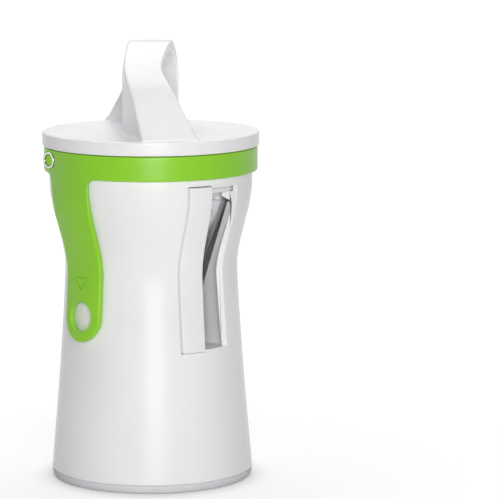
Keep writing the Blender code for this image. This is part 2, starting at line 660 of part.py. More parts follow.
def collar():
    inner = hopper_inner()
    skirt_z = SHELL_TOP_Z - BAND_SKIRT
    underside = SHELL_TOP_Z + GAP
    neck_out = hopper_outer_r(SHELL_TOP_Z)
    edge = 0.0007
    neck_low = LUG_TOP_Z + LUG_THICK
    skirt_in = SHOULDER_R + GAP
    outline = [(BAND_INNER_R + edge, COLLAR_TOP_Z), (BAND_R - edge, COLLAR_TOP_Z),
               (BAND_R, COLLAR_TOP_Z - edge), (BAND_R, skirt_z), (skirt_in, skirt_z), (skirt_in, underside),
               (neck_out + HOPPER_WALL * 0.6, underside), (hopper_outer_r(neck_low), neck_low),
               (hopper_outer_r(LUG_BOTTOM_Z), LUG_BOTTOM_Z)]
    outline += inner + [(BAND_INNER_R, COLLAR_TOP_Z - edge)]
    ring = turned("collar", outline)
    for n, middle in enumerate(LUG_WAYS):
        lug = sector(f"lug_{n}", hopper_outer_r(LUG_BOTTOM_Z) - HOPPER_WALL / 2,
                     hopper_outer_r(CATCH_TOP_Z) + RUN_GAP + BAYONET_OVERLAP, LUG_BOTTOM_Z, LUG_TOP_Z,
                     middle, LUG_ANGLE)
        join(ring, lug)
    low = TAB_BOTTOM_Z - 0.002
    skirt_top = SHELL_TOP_Z - GAP
    outer = [(min(r, BAND_R - 0.0001), z) for r, z in body_side(low, skirt_top, TAB_CLEAR + TAB_THICK)]
    sheet = outer[::-1] + body_side(low, skirt_top, TAB_CLEAR)
    strap = turned("tab_sheet", sheet)
    side = Matrix.Translation((-FOOT_R, 0, 0)) @ YZ_PLANE
    shape = flat_outline("tab_shape", tab_outline(), FOOT_R, side)
    combine(strap, shape, "INTERSECT")
    hole_z = TAB_BOTTOM_Z + TAB_HOLE_UP
    across = Matrix.Translation((-FOOT_R, TAB_CENTRE_Y, hole_z)) @ Matrix.Rotation(math.pi / 2, 4, "Y")
    hole = rod("tab_hole", TAB_HOLE_R, -0.02, 0.02, steps=28, place=across)
    cut(strap, hole)
    mark_z = TAB_BOTTOM_Z + MARK_UP
    top_z = mark_z + MARK_HEIGHT
    half = MARK_WIDTH / 2
    corners = [(TAB_CENTRE_Y - half, top_z), (TAB_CENTRE_Y + half, top_z), (TAB_CENTRE_Y, mark_z)]
    mark_r = body_r(mark_z + MARK_HEIGHT / 2) + TAB_CLEAR + TAB_THICK
    for n in range(3):
        (y0, z0), (y1, z1) = corners[n], corners[(n + 1) % 3]
        run = math.hypot(y1 - y0, z1 - z0)
        turn = Matrix.Rotation(math.atan2(z1 - z0, y1 - y0), 4, "X")
        place = Matrix.Translation((-mark_r, (y0 + y1) / 2, (z0 + z1) / 2)) @ turn
        line = box(f"mark_{n}", (-0.004, -run / 2, -MARK_LINE / 2), (MARK_DEPTH, run / 2, MARK_LINE / 2),
                   place)
        cut(strap, line)
    join(ring, strap)
    place = button_place()
    boss = rod("button_boss", BEZEL_R + 0.0009, -0.003, 0, steps=28, place=place)
    inside = turned("boss_trim", [(0, COLLAR_TOP_Z + 0.01), (skirt_in, COLLAR_TOP_Z + 0.01),
                                  (skirt_in, skirt_z - 0.01), (0, skirt_z - 0.01)])
    cut(boss, inside)
    join(ring, boss)
    bezel_seat = rod("bezel_seat", BEZEL_R + GAP, -BEZEL_SUNK, 0.003, steps=28, place=place)
    well = rod("button_well", BUTTON_R + 0.0009, -0.0020, 0.001, steps=24, place=place)
    cut(ring, bezel_seat, well)
    finish(ring, (0.24, 0.62, 0.03), 0.35)


def release_button():
    place = button_place()
    low = GAP - BEZEL_SUNK
    high = low + BEZEL_THICK
    hole_r = BUTTON_R + GAP
    outline = [(BEZEL_R, high), (BEZEL_R, low), (hole_r, low), (hole_r, high)]
    bezel = turned("button_bezel", outline, steps=28)
    bezel.matrix_world = place
    finish(bezel, (0.75, 0.76, 0.78), 0.18, 1.0)
    button = rod("release_button", BUTTON_R, -0.0006, high + 0.0001, steps=24)
    flange = rod("button_flange", BUTTON_R + 0.0005, -0.0009, low - GAP, steps=24)
    join(button, flange)
    button.matrix_world = place
    flange.matrix_world = place
    finish(button, (0.24, 0.62, 0.03), 0.3)
    spring_top = -0.0009 - BUTTON_TRAVEL - 0.00005
    hole_r = BUTTON_R * 0.5
    outline = [(BUTTON_R, spring_top - 0.0001), (BUTTON_R, spring_top - 0.0003),
               (hole_r, spring_top - 0.0002), (hole_r, spring_top)]
    spring = turned("button_spring", outline, steps=20)
    spring.matrix_world = place
    finish(spring, (0.70, 0.71, 0.73), 0.25, 1.0)


def guide_ring():
    low = GUIDE_LEDGE_Z + GAP
    high = COLLAR_TOP_Z
    ring = turned("guide_ring", [(GUIDE_R, high), (GUIDE_R, low + 0.0005), (GUIDE_R - 0.0005, low),
                                 (GUIDE_INNER_R, low), (GUIDE_INNER_R, high)])
    finish(ring, (0.90, 0.90, 0.91), 0.3)


def smooth_rail(points, steps):
    """Points of a smooth curve through the given ones, with this many steps between each two."""
    ends = [points[0] * 2 - points[1]] + points + [points[-1] * 2 - points[-2]]
    made = []
    for i in range(1, len(ends) - 2):
        p0, p1, p2, p3 = ends[i - 1:i + 3]
        for n in range(steps):
            t = n / steps
            made.append(0.5 * (2 * p1 + (p2 - p0) * t + (2 * p0 - 5 * p1 + 4 * p2 - p3) * t**2
                               + (3 * p1 - p0 - 3 * p2 + p3) * t**3))
    return made + [points[-1]]


def handle_rails():
    """Four corner rails of the arch, from its front foot over the top to its rear foot.

    Each point is (across, depth, height) in the handle's own frame, the first two as shares of
    the disc's radius and the last of the arch's rise.
    """
    top = 0.203
    under = 0.885
    outer_left = [(-0.069, -0.981, 0), (-0.163, -0.824, 0.47), (-0.212, -0.696, 0.615),
                  (-0.238, -0.535, 0.76), (-0.227, -0.300, 0.905), (-top, 0, 1)]
    outer_right = [(0.439, -0.880, 0), (0.240, -0.788, 0.47), (0.167, -0.668, 0.615),
                   (0.111, -0.514, 0.76), (0.146, -0.296, 0.905), (top, 0, 1)]
    inner_right = [(0.385, -0.771, 0), (0.201, -0.685, 0.44), (0.141, -0.574, 0.55),
                   (0.103, -0.439, 0.67), (0.137, -0.257, 0.805), (top, 0, under)]
    inner_left = [(-0.263, -0.263, 0), (-0.263, -0.263, 0.40), (-0.263, -0.263, 0.56),
                  (-0.255, -0.240, 0.70), (-0.231, -0.150, 0.818), (-top, 0, under)]
    front = [[Vector((x * DISC_R, y * DISC_R, z * HANDLE_RISE)) for x, y, z in rail]
             for rail in (outer_left, outer_right, inner_right, inner_left)]
    half_turn = Matrix.Rotation(math.pi, 3, "Z")
    rear = [[half_turn @ p for p in front[i][-2::-1]] for i in (1, 0, 3, 2)]
    return [smooth_rail(ahead + behind, HANDLE_STEPS) for ahead, behind in zip(front, rear)]


def rounded_corner(before, corner, after, cut_back):
    """Two points that take the corner off a section."""
    to_before = (before - corner).normalized() * min(cut_back, (before - corner).length * 0.3)
    to_after = (after - corner).normalized() * min(cut_back, (after - corner).length * 0.3)
    return [corner + to_before, corner + to_after]


def handle():
    """The twisted arch, lofted through sections. Half a turn about Z maps it onto itself."""
    sections = [list(s) for s in zip(*handle_rails())]
    sunk = Vector((0, 0, DISC_TOP_WALL * 0.6))
    sections = [[p - sunk for p in sections[0]]] + sections + [[p - sunk for p in sections[-1]]]
    bm = bmesh.new()
    rings = []
    base = Vector((0, 0, CAP_TOP_Z))
    turn = Matrix.Rotation(HANDLE_TURN, 3, "Z")
    for corners in sections:
        ring = []
        for i in range(4):
            ring += rounded_corner(corners[i - 1], corners[i], corners[(i + 1) % 4], HANDLE_EDGE)
        rings.append([bm.verts.new(turn @ p + base) for p in ring])
    for low, high in zip(rings, rings[1:]):
        for i in range(len(low)):
            j = (i + 1) % len(low)
            bm.faces.new((low[i], low[j], high[j], high[i]))
    bm.faces.new(rings[0][::-1])
    bm.faces.new(rings[-1])
    bmesh.ops.triangulate(bm, faces=bm.faces)
    bmesh.ops.recalc_face_normals(bm, faces=bm.faces)
    mesh = bpy.data.meshes.new("handle")
    bm.to_mesh(mesh)
    bm.free()
    return link(mesh, "handle")


def holder():
    under = CAP_TOP_Z - DISC_TOP_WALL
    snap_top = GUIDE_LEDGE_Z - GAP + RUN_GAP - 0.0002
    skirt_in = SKIRT_R - SKIRT_WALL
    rim_in = GUIDE_R + GAP
    outline = [(0, CAP_TOP_Z), (DISC_R - DISC_EDGE, CAP_TOP_Z), (DISC_R, CAP_TOP_Z - DISC_EDGE),
               (DISC_R, CAP_BOTTOM_Z), (rim_in, CAP_BOTTOM_Z), (rim_in, under), (SKIRT_R, under),
               (SKIRT_R, snap_top), (SKIRT_R + SNAP_REACH, snap_top - SNAP_THICK * 0.2),
               (SKIRT_R, snap_top - SNAP_THICK), (skirt_in, snap_top - SNAP_THICK), (skirt_in, under),
               (0, under)]
    cap = turned("holder_cap", outline)
    join(cap, handle())
    plate_low = PLATE_TOP_Z - PLATE_THICK
    plate = rod("spike_plate", PLATE_R, plate_low, PLATE_TOP_Z, steps=ROUND)
    for n in range(3):
        spot = around(math.radians(120) * n, PLATE_SCREW_RING)
        place = Matrix.Translation(spot)
        boss = rod(f"plate_boss_{n}", BOSS_R, PLATE_TOP_Z + GAP, under + 0.001, place=place)
        hole = rod(f"plate_hole_{n}", SCREW_SHANK_R + GAP, plate_low - 0.002, under - 0.0006,
                   steps=12, place=place)
        join(cap, boss)
        cut(cap, hole)
        cut(plate, hole)
        spot.z = plate_low - GAP
        tight = Matrix.Translation(spot) @ Matrix.Rotation(math.pi, 4, "X")
        head = rod(f"plate_screw_{n + 1}", SCREW_HEAD_R, 0, SCREW_HEAD_H, steps=12, place=tight)
        depth = PLATE_THICK + PLATE_DROP - 0.0006
        shank = rod(f"plate_shank_{n}", SCREW_SHANK_R, -depth, 0.0002, steps=10, place=tight)
        finish(join(head, shank), (0.62, 0.63, 0.65), 0.3, 1.0)
    places = [around(math.radians(360 / SPIKE_COUNT) * (n + 0.5), SPIKE_RING) for n in range(SPIKE_COUNT)]
    places.append(Vector((0, 0, 0)))
    for n, spot in enumerate(places):
        place = Matrix.Translation(spot)
        cut(plate, rod(f"spike_hole_{n}", SPIKE_R + GAP, plate_low - 0.001, PLATE_TOP_Z + 0.001,
                       steps=12, place=place))
        low = PLATE_TOP_Z + GAP
        head_z = low + SPIKE_HEAD_H
        tip_z = plate_low - SPIKE_LENGTH
        outline = [(0, head_z), (SPIKE_HEAD_R, head_z), (SPIKE_HEAD_R, low), (SPIKE_R, low),
                   (SPIKE_R, tip_z + SPIKE_POINT), (0, tip_z)]
        spike = turned(f"spike_{n + 1}", outline, steps=12)
        spike.location = spot
        finish(spike, (0.72, 0.73, 0.75), 0.25, 1.0)
    finish(plate, (0.72, 0.73, 0.75), 0.28, 1.0)
    finish(cap, (0.90, 0.90, 0.91), 0.3)


outer_shell()
base_pieces()
cutting_cone()
slicing_blade()
hopper_seal()
outlet_chute()
comb_insert()
collar()
release_button()
guide_ring()
holder()
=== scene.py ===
"""Looks of a hand cranked vegetable spiralizer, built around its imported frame.

The frame has +Z up, the outlet window towards -Y and the collar's tab on the -X side. Sizes are
in millimetres and outlines are (radius, height) points, unless a docstring says otherwise.
Blender works in metres, so lengths turn into metres where a mesh is made.
"""

import json
import logging
from dataclasses import dataclass
from enum import Enum
from math import atan2, cos, hypot, pi, radians, sin, sqrt

import bmesh
import bpy
from bmesh.types import BMesh, BMVert
from bpy.types import Material, Node, NodeSocket, NodeTree
from mathutils import Matrix, Vector


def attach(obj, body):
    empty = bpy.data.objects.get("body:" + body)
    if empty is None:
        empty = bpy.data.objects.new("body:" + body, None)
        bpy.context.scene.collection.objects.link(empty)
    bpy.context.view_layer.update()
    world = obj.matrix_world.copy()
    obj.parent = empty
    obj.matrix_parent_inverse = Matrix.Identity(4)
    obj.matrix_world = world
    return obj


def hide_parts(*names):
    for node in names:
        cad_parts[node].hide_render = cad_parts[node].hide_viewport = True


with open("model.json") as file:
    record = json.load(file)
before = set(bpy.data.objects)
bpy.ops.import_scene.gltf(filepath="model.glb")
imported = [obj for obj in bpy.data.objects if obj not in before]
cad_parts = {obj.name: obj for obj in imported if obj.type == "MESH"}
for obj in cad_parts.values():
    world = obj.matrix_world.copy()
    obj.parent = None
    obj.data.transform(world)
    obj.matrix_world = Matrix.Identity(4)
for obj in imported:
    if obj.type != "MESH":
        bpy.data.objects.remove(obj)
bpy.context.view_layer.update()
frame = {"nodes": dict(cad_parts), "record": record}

logging.basicConfig(level=logging.INFO, format="%(message)s")
LOG = logging.getLogger("spiralizer")

Outline = list[tuple[float, float]]
Span = tuple[float, float]
MM = 0.001
HERE = Matrix()
# Stands a plate's own XY plane up as the frame's YZ plane
YZ_PLANE = Matrix(((0, 0, 1, 0), (1, 0, 0, 0), (0, 1, 0, 0), (0, 0, 0, 1)))
# The bayonet's three lugs and catches: their places round the turn and the width of each
BAYONET_DEG = (55, 175, 295)
BAYONET_WIDTH_DEG = 16


def linear(code: str) -> tuple[float, float, float, float]:
    """Turns an sRGB hex colour into linear values by the standard's own curve.

    Args:
        code: Six hex digits, such as "F4F4F6".

    Returns:
        Linear red, green, blue and an alpha of 1.
    """
    parts = [int(code[i:i + 2], 16) / 255 for i in (0, 2, 4)]
    r, g, b = (c / 12.92 if c <= 0.04045 else ((c + 0.055) / 1.055) ** 2.4 for c in parts)
    return (r, g, b, 1.0)


def add_node(tree: NodeTree, kind: str, settings: dict | None = None,
             links: dict | None = None) -> Node:
    """Adds a node with its settings and links.

    Args:
        tree: The material's or world's node tree.
        kind: The node's type name.
        settings: Values by attribute name, or by input socket name or number.
        links: Output sockets by the input socket's name or number.

    Returns:
        The new node.
    """
    node = tree.nodes.new(kind)
    for key, value in (settings or {}).items():
        if isinstance(key, str) and hasattr(node, key):
            setattr(node, key, value)
        else:
            node.inputs[key].default_value = value
    for key, source in (links or {}).items():
        tree.links.new(source, node.inputs[key])
    return node


def between(low: float, high: float, count: int) -> list[float]:
    """Evenly spaced values from low to high, both included."""
    return [low + (high - low) * i / count for i in range(count + 1)]


def rod(radius: float, low: float, high: float) -> Outline:
    """The outline of a cylinder from low to high, to be turned."""
    return [(0, high), (radius, high), (radius, low), (0, low)]


def around(angle: float, radius: float) -> tuple[float, float]:
    """The x and y of a place at this angle from -Y, turning towards +X."""
    return (radius * sin(angle), -radius * cos(angle))


def bend(start: Vector, corner: Vector, end: Vector, steps: int) -> list[Vector]:
    """Points of a curve that rounds a corner, with its start and end included."""
    return [start * (1 - t) ** 2 + corner * 2 * t * (1 - t) + end * t**2
            for t in between(0, 1, steps)]


def skin(bm: BMesh, rings: list[list[BMVert]]) -> None:
    """Lays faces between each ring of points and the next.

    Args:
        bm: The mesh under construction.
        rings: Rings of equally many points. One on the axis repeats a single point.
    """
    for first, second in zip(rings, rings[1:]):
        for i in range(len(first)):
            j = (i + 1) % len(first)
            corners = list(dict.fromkeys((first[i], first[j], second[j], second[i])))
            if len(corners) > 2:
                bm.faces.new(corners)


class Shading:
    """The nodes of one material under construction, with the steps that all finishes share."""

    def __init__(self, name: str) -> None:
        """Makes the material and finds its shader.

        Args:
            name: The material's name.
        """
        self.material = bpy.data.materials.new(name)
        self.material.use_nodes = True
        self.tree = self.material.node_tree
        self.shader = self.tree.nodes["Principled BSDF"]
        self.place = add_node(self.tree, "ShaderNodeTexCoord").outputs["Object"]

    def noise(self, size_mm: float, detail: float, roughness: float = 0.5,
              place: NodeSocket | None = None) -> NodeSocket:
        """Cloudy noise with spots of this size, read in the object's own coordinates or others."""
        values = {"Scale": 1 / (size_mm * MM), "Detail": detail, "Roughness": roughness}
        return add_node(self.tree, "ShaderNodeTexNoise", values,
                        {"Vector": self.place if place is None else place}).outputs[0]

    def stretch(self, source: NodeSocket, span: Span = (0, 1), onto: Span = (0, 1)) -> NodeSocket:
        """Maps one span of values onto another and holds them inside it."""
        values = {"From Min": span[0], "From Max": span[1], "To Min": onto[0], "To Max": onto[1]}
        return add_node(self.tree, "ShaderNodeMapRange", values, {"Value": source}).outputs[0]

    def maths(self, operation: str, values: dict, links: dict) -> NodeSocket:
        """Adds a calculation on values and links, which are given by their input's number."""
        settings = {"operation": operation, **values}
        return add_node(self.tree, "ShaderNodeMath", settings, links).outputs[0]

    def wire(self, socket: str, source: NodeSocket) -> None:
        """Links a value to the shader's socket of this name."""
        self.tree.links.new(source, self.shader.inputs[socket])

    def mix_colours(self, first: str, second: str, share: NodeSocket) -> None:
        """Gives the shader a mix of two sRGB hex colours, by the second one's share."""
        colours = {"data_type": "RGBA", 6: linear(first), 7: linear(second)}
        mix = add_node(self.tree, "ShaderNodeMix", colours, {0: share})
        self.wire("Base Color", mix.outputs[2])

    def bump(self, height: NodeSocket, depth_mm: float, strength: float) -> None:
        """Raises the surface by a height value times this depth."""
        values = {"Strength": strength, "Distance": depth_mm * MM}
        self.wire("Normal", add_node(self.tree, "ShaderNodeBump", values,
                                     {"Height": height}).outputs[0])


@dataclass(frozen=True)
class MouldedPlastic:
    """Injection moulded plastic: an even colour with soft flow clouds and a fine tool texture.

    Fine handling marks vary the gloss, and light goes a little way into every grade.
    """

    name: str
    colour: str
    cloud_colour: str
    roughness: float
    gloss_change: float
    ior: float
    glow: float
    glow_depth_mm: float
    texture_depth_mm: float = 0.006
    texture_mm: float = 0.9
    cloud_mm: float = 38.0
    speck_mm: float = 0.5
    rub_mm: float = 26.0
    sink_mm: float = 24.0
    sink_share: float = 6.0
    glow_reach: tuple[float, float, float] = (1.0, 0.9, 0.6)

    def build(self) -> Material:
        """Makes the material.

        Returns:
            The material with its nodes.
        """
        nodes = Shading(self.name)
        clouds = nodes.stretch(nodes.noise(self.cloud_mm, 3.0, 0.45), (0.35, 0.68))
        # Pigment specks: real ones are about 0.1 mm, drawn at half a millimetre so that they show
        specks = nodes.stretch(nodes.noise(self.speck_mm, 1.0), (0.62, 0.80), (0, 0.10))
        share = nodes.maths("ADD", {"use_clamp": True}, {0: clouds, 1: specks})
        nodes.mix_colours(self.colour, self.cloud_colour, share)
        rubbed = nodes.noise(self.rub_mm, 2.0, 0.4)
        gloss = (self.roughness - self.gloss_change, self.roughness + self.gloss_change)
        nodes.wire("Roughness", nodes.stretch(rubbed, (0.3, 0.7), gloss))
        # Tool texture: sparked moulds leave about 0.05 mm grit, drawn coarser so that it shows
        grit = nodes.noise(self.texture_mm, 2.0)
        sink = nodes.noise(self.sink_mm, 1.0)
        height = nodes.maths("MULTIPLY_ADD", {1: self.sink_share}, {0: sink, 2: grit})
        nodes.bump(height, self.texture_depth_mm, 1.0)
        nodes.shader.inputs["IOR"].default_value = self.ior
        nodes.shader.inputs["Subsurface Weight"].default_value = self.glow
        nodes.shader.inputs["Subsurface Scale"].default_value = self.glow_depth_mm * MM
        nodes.shader.inputs["Subsurface Radius"].default_value = self.glow_reach
        return nodes.material


@dataclass(frozen=True)
class SoftElastomer:
    """Moulded thermoplastic elastomer: dull, slightly mottled, with dust in its fine pores."""

    name: str
    colour: str
    dust_colour: str
    roughness: float
    ior: float = 1.50
    dust_mm: float = 6.0
    pore_mm: float = 0.7
    pore_depth_mm: float = 0.03

    def build(self) -> Material:
        """Makes the material.

        Returns:
            The material with its nodes.
        """
        nodes = Shading(self.name)
        dust = nodes.noise(self.dust_mm, 6.0, 0.65)
        nodes.mix_colours(self.colour, self.dust_colour, nodes.stretch(dust, (0.42, 0.74)))
        dull = (self.roughness - 0.08, self.roughness + 0.12)
        nodes.wire("Roughness", nodes.stretch(dust, onto=dull))
        # Pores: real ones are near 0.05 mm, drawn coarser so that they show
        pores = add_node(nodes.tree, "ShaderNodeTexVoronoi", {"Scale": 1 / (self.pore_mm * MM)},
                         {"Vector": nodes.place})
        nodes.bump(pores.outputs["Distance"], self.pore_depth_mm, 0.6)
        nodes.shader.inputs["IOR"].default_value = self.ior
        return nodes.material


class Grain(Enum):
    """Which way a steel surface was worked, as the scale along each axis."""

    ALONG_SLOT = (1.0, 0.05, 0.05)
    EVEN = (1.0, 1.0, 1.0)


@dataclass(frozen=True)
class StainlessSteel:
    """Stainless steel: fine parallel grinding lines, or an even polish with faint hairlines."""

    name: str
    colour: str
    stain_colour: str
    roughness: float
    grain: Grain
    stain_mm: float = 8.0
    line_mm: float = 0.25
    line_depth_mm: float = 0.004
    anisotropy: float = 0.0

    def build(self) -> Material:
        """Makes the material.

        Returns:
            The material with its nodes.
        """
        nodes = Shading(self.name)
        drawn = add_node(nodes.tree, "ShaderNodeMapping", {"Scale": self.grain.value},
                         {"Vector": nodes.place})
        # Grinding lines: a 240 grit belt leaves 0.05 mm ones, drawn at a quarter millimetre to show
        lines = nodes.noise(self.line_mm, 3.0, 0.7, drawn.outputs[0])
        stain = nodes.noise(self.stain_mm, 3.0)
        nodes.mix_colours(self.colour, self.stain_colour, nodes.stretch(stain, (0.5, 0.8)))
        dull = (self.roughness * 0.7, self.roughness * 1.35)
        nodes.wire("Roughness", nodes.stretch(lines, onto=dull))
        nodes.bump(lines, self.line_depth_mm, 0.7)
        nodes.shader.inputs["Metallic"].default_value = 1.0
        nodes.shader.inputs["Anisotropic"].default_value = self.anisotropy
        return nodes.material


class Slot(Enum):
    """The record's material slots, each with the finish that the pieces in it get."""

    # Satin ABS, nearly white with a cool cast; its gloss gives broad soft highlights
    WHITE_SHELL = ("white_shell", MouldedPlastic(
        "abs_white_satin", "F4F4F5", "EFEFF1", 0.24, 0.02, 1.54, glow=0.12, glow_depth_mm=1.5))
    # The same ABS from a coarser tool, so that the inner pieces look duller
    WHITE_INNER = ("white_inner", MouldedPlastic(
        "abs_white_dull", "ECECEE", "E4E4E7", 0.42, 0.04, 1.54, glow=0.10, glow_depth_mm=1.2,
        texture_depth_mm=0.010))
    # Polypropylene is a little translucent, so its yellow green glows at thin edges
    GREEN_COLLAR = ("green_collar", MouldedPlastic(
        "polypropylene_green", "90D51C", "88CF16", 0.30, 0.03, 1.49, glow=0.22, glow_depth_mm=2.0))
    # Grey elastomer: its dull skin keeps the pad and the seal from shining like the shell
    SOFT_GREY = ("soft_grey", SoftElastomer(
        "thermoplastic_elastomer_grey", "DCDCDF", "E2E2E5", 0.66))
    # Ground along the edge: the lines draw the highlight out across the blade and the comb
    BLADE_STEEL = ("blade_steel", StainlessSteel(
        "stainless_steel_ground", "C9CBCE", "BDBFC3", 0.24, Grain.ALONG_SLOT, anisotropy=0.3))
    # Polished: the one mirror-like glint, on the ring round the button
    POLISHED_STEEL = ("polished_steel", StainlessSteel(
        "stainless_steel_polished", "D6D7DA", "CCCDD0", 0.12, Grain.EVEN, line_depth_mm=0.001))
    # Turned: greyer and duller, so that screws and rivets stand out from the blade
    SCREW_STEEL = ("screw_steel", StainlessSteel(
        "stainless_steel_turned", "B8BABD", "A9ABAF", 0.3, Grain.EVEN, line_mm=0.4))

    @property
    def slot_name(self) -> str:
        """The slot's name in the record."""
        return self.value[0]

    def material(self) -> Material:
        """The slot's material, made on its first use."""
        finish = self.value[1]
        return bpy.data.materials.get(finish.name) or finish.build()


class Solid:
    """A closed mesh under construction. It ends as a dressed piece that rides on a body."""

    def __init__(self, name: str, bm: BMesh, place: Matrix = HERE) -> None:
        """Puts the shape into the scene with its faces outwards.

        Args:
            name: The piece's name.
            bm: Its bmesh in metres, which is freed.
            place: Where to move it.
        """
        bmesh.ops.transform(bm, matrix=place, verts=bm.verts)
        bmesh.ops.recalc_face_normals(bm, faces=bm.faces)
        if bm.calc_volume(signed=True) < 0:
            bmesh.ops.reverse_faces(bm, faces=bm.faces)
        mesh = bpy.data.meshes.new(name)
        bm.to_mesh(mesh)
        bm.free()
        self.obj = bpy.data.objects.new(name, mesh)
        bpy.context.scene.collection.objects.link(self.obj)

    @classmethod
    def turned(cls, name: str, outline: Outline, steps: int, place: Matrix = HERE) -> "Solid":
        """Turns a closed outline about Z.

        Args:
            name: The piece's name.
            outline: Its points, either closed or with both ends on the axis.
            steps: Facets in a full turn.
            place: Where to move it.

        Returns:
            The solid.
        """
        bm = bmesh.new()
        turn = [2 * pi * i / steps for i in range(steps)]
        rings = []
        for r, z in ((r * MM, z * MM) for r, z in outline):
            if r == 0:
                rings.append([bm.verts.new((0, 0, z))] * steps)
            else:
                rings.append([bm.verts.new((r * cos(a), r * sin(a), z)) for a in turn])
        ends_on_axis = outline[0][0] == 0 and outline[-1][0] == 0
        skin(bm, rings if ends_on_axis else rings + [rings[0]])
        return cls(name, bm, place)

    @classmethod
    def block(cls, name: str, low: tuple, high: tuple, place: Matrix = HERE) -> "Solid":
        """A box between two corners, used to cut and to trim.

        Args:
            name: The piece's name.
            low: Lowest corner.
            high: Highest corner.
            place: Where to move it.

        Returns:
            The solid.
        """
        spans = [(l * MM, h * MM) for l, h in zip(low, high)]
        bm = bmesh.new()
        bmesh.ops.create_cube(bm, size=1)
        bmesh.ops.scale(bm, vec=[h - l for l, h in spans], verts=bm.verts)
        bmesh.ops.translate(bm, vec=[(h + l) / 2 for l, h in spans], verts=bm.verts)
        return cls(name, bm, place)

    @classmethod
    def plate(cls, name: str, outline: Outline, thickness: float, place: Matrix) -> "Solid":
        """A flat outline in its own XY plane, given a thickness along its Z.

        Args:
            name: The piece's name.
            outline: (x, y) points.
            thickness: Its thickness.
            place: Where the outline's plane lies.

        Returns:
            The solid.
        """
        bm = bmesh.new()
        half = thickness * MM / 2
        low = [bm.verts.new((x * MM, y * MM, -half)) for x, y in outline]
        high = [bm.verts.new((x * MM, y * MM, half)) for x, y in outline]
        bm.faces.new(low[::-1])
        bm.faces.new(high)
        skin(bm, [low, high])
        bmesh.ops.triangulate(bm, faces=[f for f in bm.faces if len(f.verts) > 4])
        return cls(name, bm, place)

    @classmethod
    def sector(cls, name: str, radii: tuple, levels: tuple, middle_deg: float,
               width_deg: float) -> "Solid":
        """A block that fills part of a turn, as a bayonet lug does.

        Args:
            name: The piece's name.
            radii: Inner and outer radius.
            levels: Lower and upper height.
            middle_deg: The angle of its middle, from -Y towards +X.
            width_deg: The angle that it spans.

        Returns:
            The solid.
        """
        middle, half = radians(middle_deg), radians(width_deg) / 2
        angles = between(middle - half, middle + half, 10)
        outline = [around(a, radii[1]) for a in angles]
        outline += [around(a, radii[0]) for a in reversed(angles)]
        place = Matrix.Translation((0, 0, sum(levels) * MM / 2))
        return cls.plate(name, outline, levels[1] - levels[0], place)

    def _apply(self) -> None:
        """Turns the modifiers into plain mesh."""
        bpy.context.view_layer.update()
        graph = bpy.context.evaluated_depsgraph_get()
        made = bpy.data.meshes.new_from_object(self.obj.evaluated_get(graph))
        self.obj.modifiers.clear()
        self.obj.data = made

    def _combine(self, other: "Solid", operation: str) -> None:
        """Combines with another solid, which is used up.

        Args:
            other: The other solid.
            operation: The boolean modifier's name for what is done.
        """
        before = self.obj.data
        for solver in ("MANIFOLD", "EXACT"):
            step = self.obj.modifiers.new("step", "BOOLEAN")
            step.operation = operation
            step.solver = solver
            step.object = other.obj
            self._apply()
            if len(self.obj.data.polygons) > 3:
                break
            self.obj.data = before
        bpy.data.objects.remove(other.obj, do_unlink=True)

    def cut(self, *others: "Solid") -> "Solid":
        """Cuts the others away and returns this solid."""
        for other in others:
            self._combine(other, "DIFFERENCE")
        return self

    def join(self, *others: "Solid") -> None:
        """Adds the others."""
        for other in others:
            self._combine(other, "UNION")

    def keep(self, other: "Solid") -> None:
        """Keeps what lies inside the other."""
        self._combine(other, "INTERSECT")

    def round_edges(self, width: float, segments: int) -> None:
        """Rounds the sharp edges as a mould's radius does.

        Args:
            width: How far the rounding reaches from each edge.
            segments: Steps across it.
        """
        weld_share, sliver_share, crease_deg = 0.3, 0.2, 32
        bm = bmesh.new()
        bm.from_mesh(self.obj.data)
        bmesh.ops.remove_doubles(bm, verts=bm.verts, dist=width * MM * weld_share)
        bmesh.ops.dissolve_degenerate(bm, edges=bm.edges, dist=width * MM * sliver_share)
        bmesh.ops.recalc_face_normals(bm, faces=bm.faces)
        bm.to_mesh(self.obj.data)
        bm.free()
        step = self.obj.modifiers.new("round", "BEVEL")
        step.width = width * MM
        step.segments = segments
        step.limit_method = "ANGLE"
        step.angle_limit = radians(crease_deg)
        step.use_clamp_overlap = False
        step.miter_outer = "MITER_ARC"
        self._apply()

    def dress(self, body: str, slot: Slot, *nodes: str, sharp_deg: float = 38.0) -> None:
        """Shades the solid, gives it its finish and lets it ride on its body.

        Args:
            body: The CAD body it rides on.
            slot: The material slot whose finish it gets.
            nodes: The CAD nodes it stands for.
            sharp_deg: Edges that turn more than this stay crisp.
        """
        mesh = self.obj.data
        mesh.shade_smooth()
        mesh.set_sharp_from_angle(angle=radians(sharp_deg))
        even = self.obj.modifiers.new("even_shading", "WEIGHTED_NORMAL")
        even.keep_sharp = True
        even.weight = 70
        mesh.materials.clear()
        mesh.materials.append(slot.material())
        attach(self.obj, body)
        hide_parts(*nodes)
        LOG.info("%s: %d faces on %s", self.obj.name, len(mesh.polygons), body)


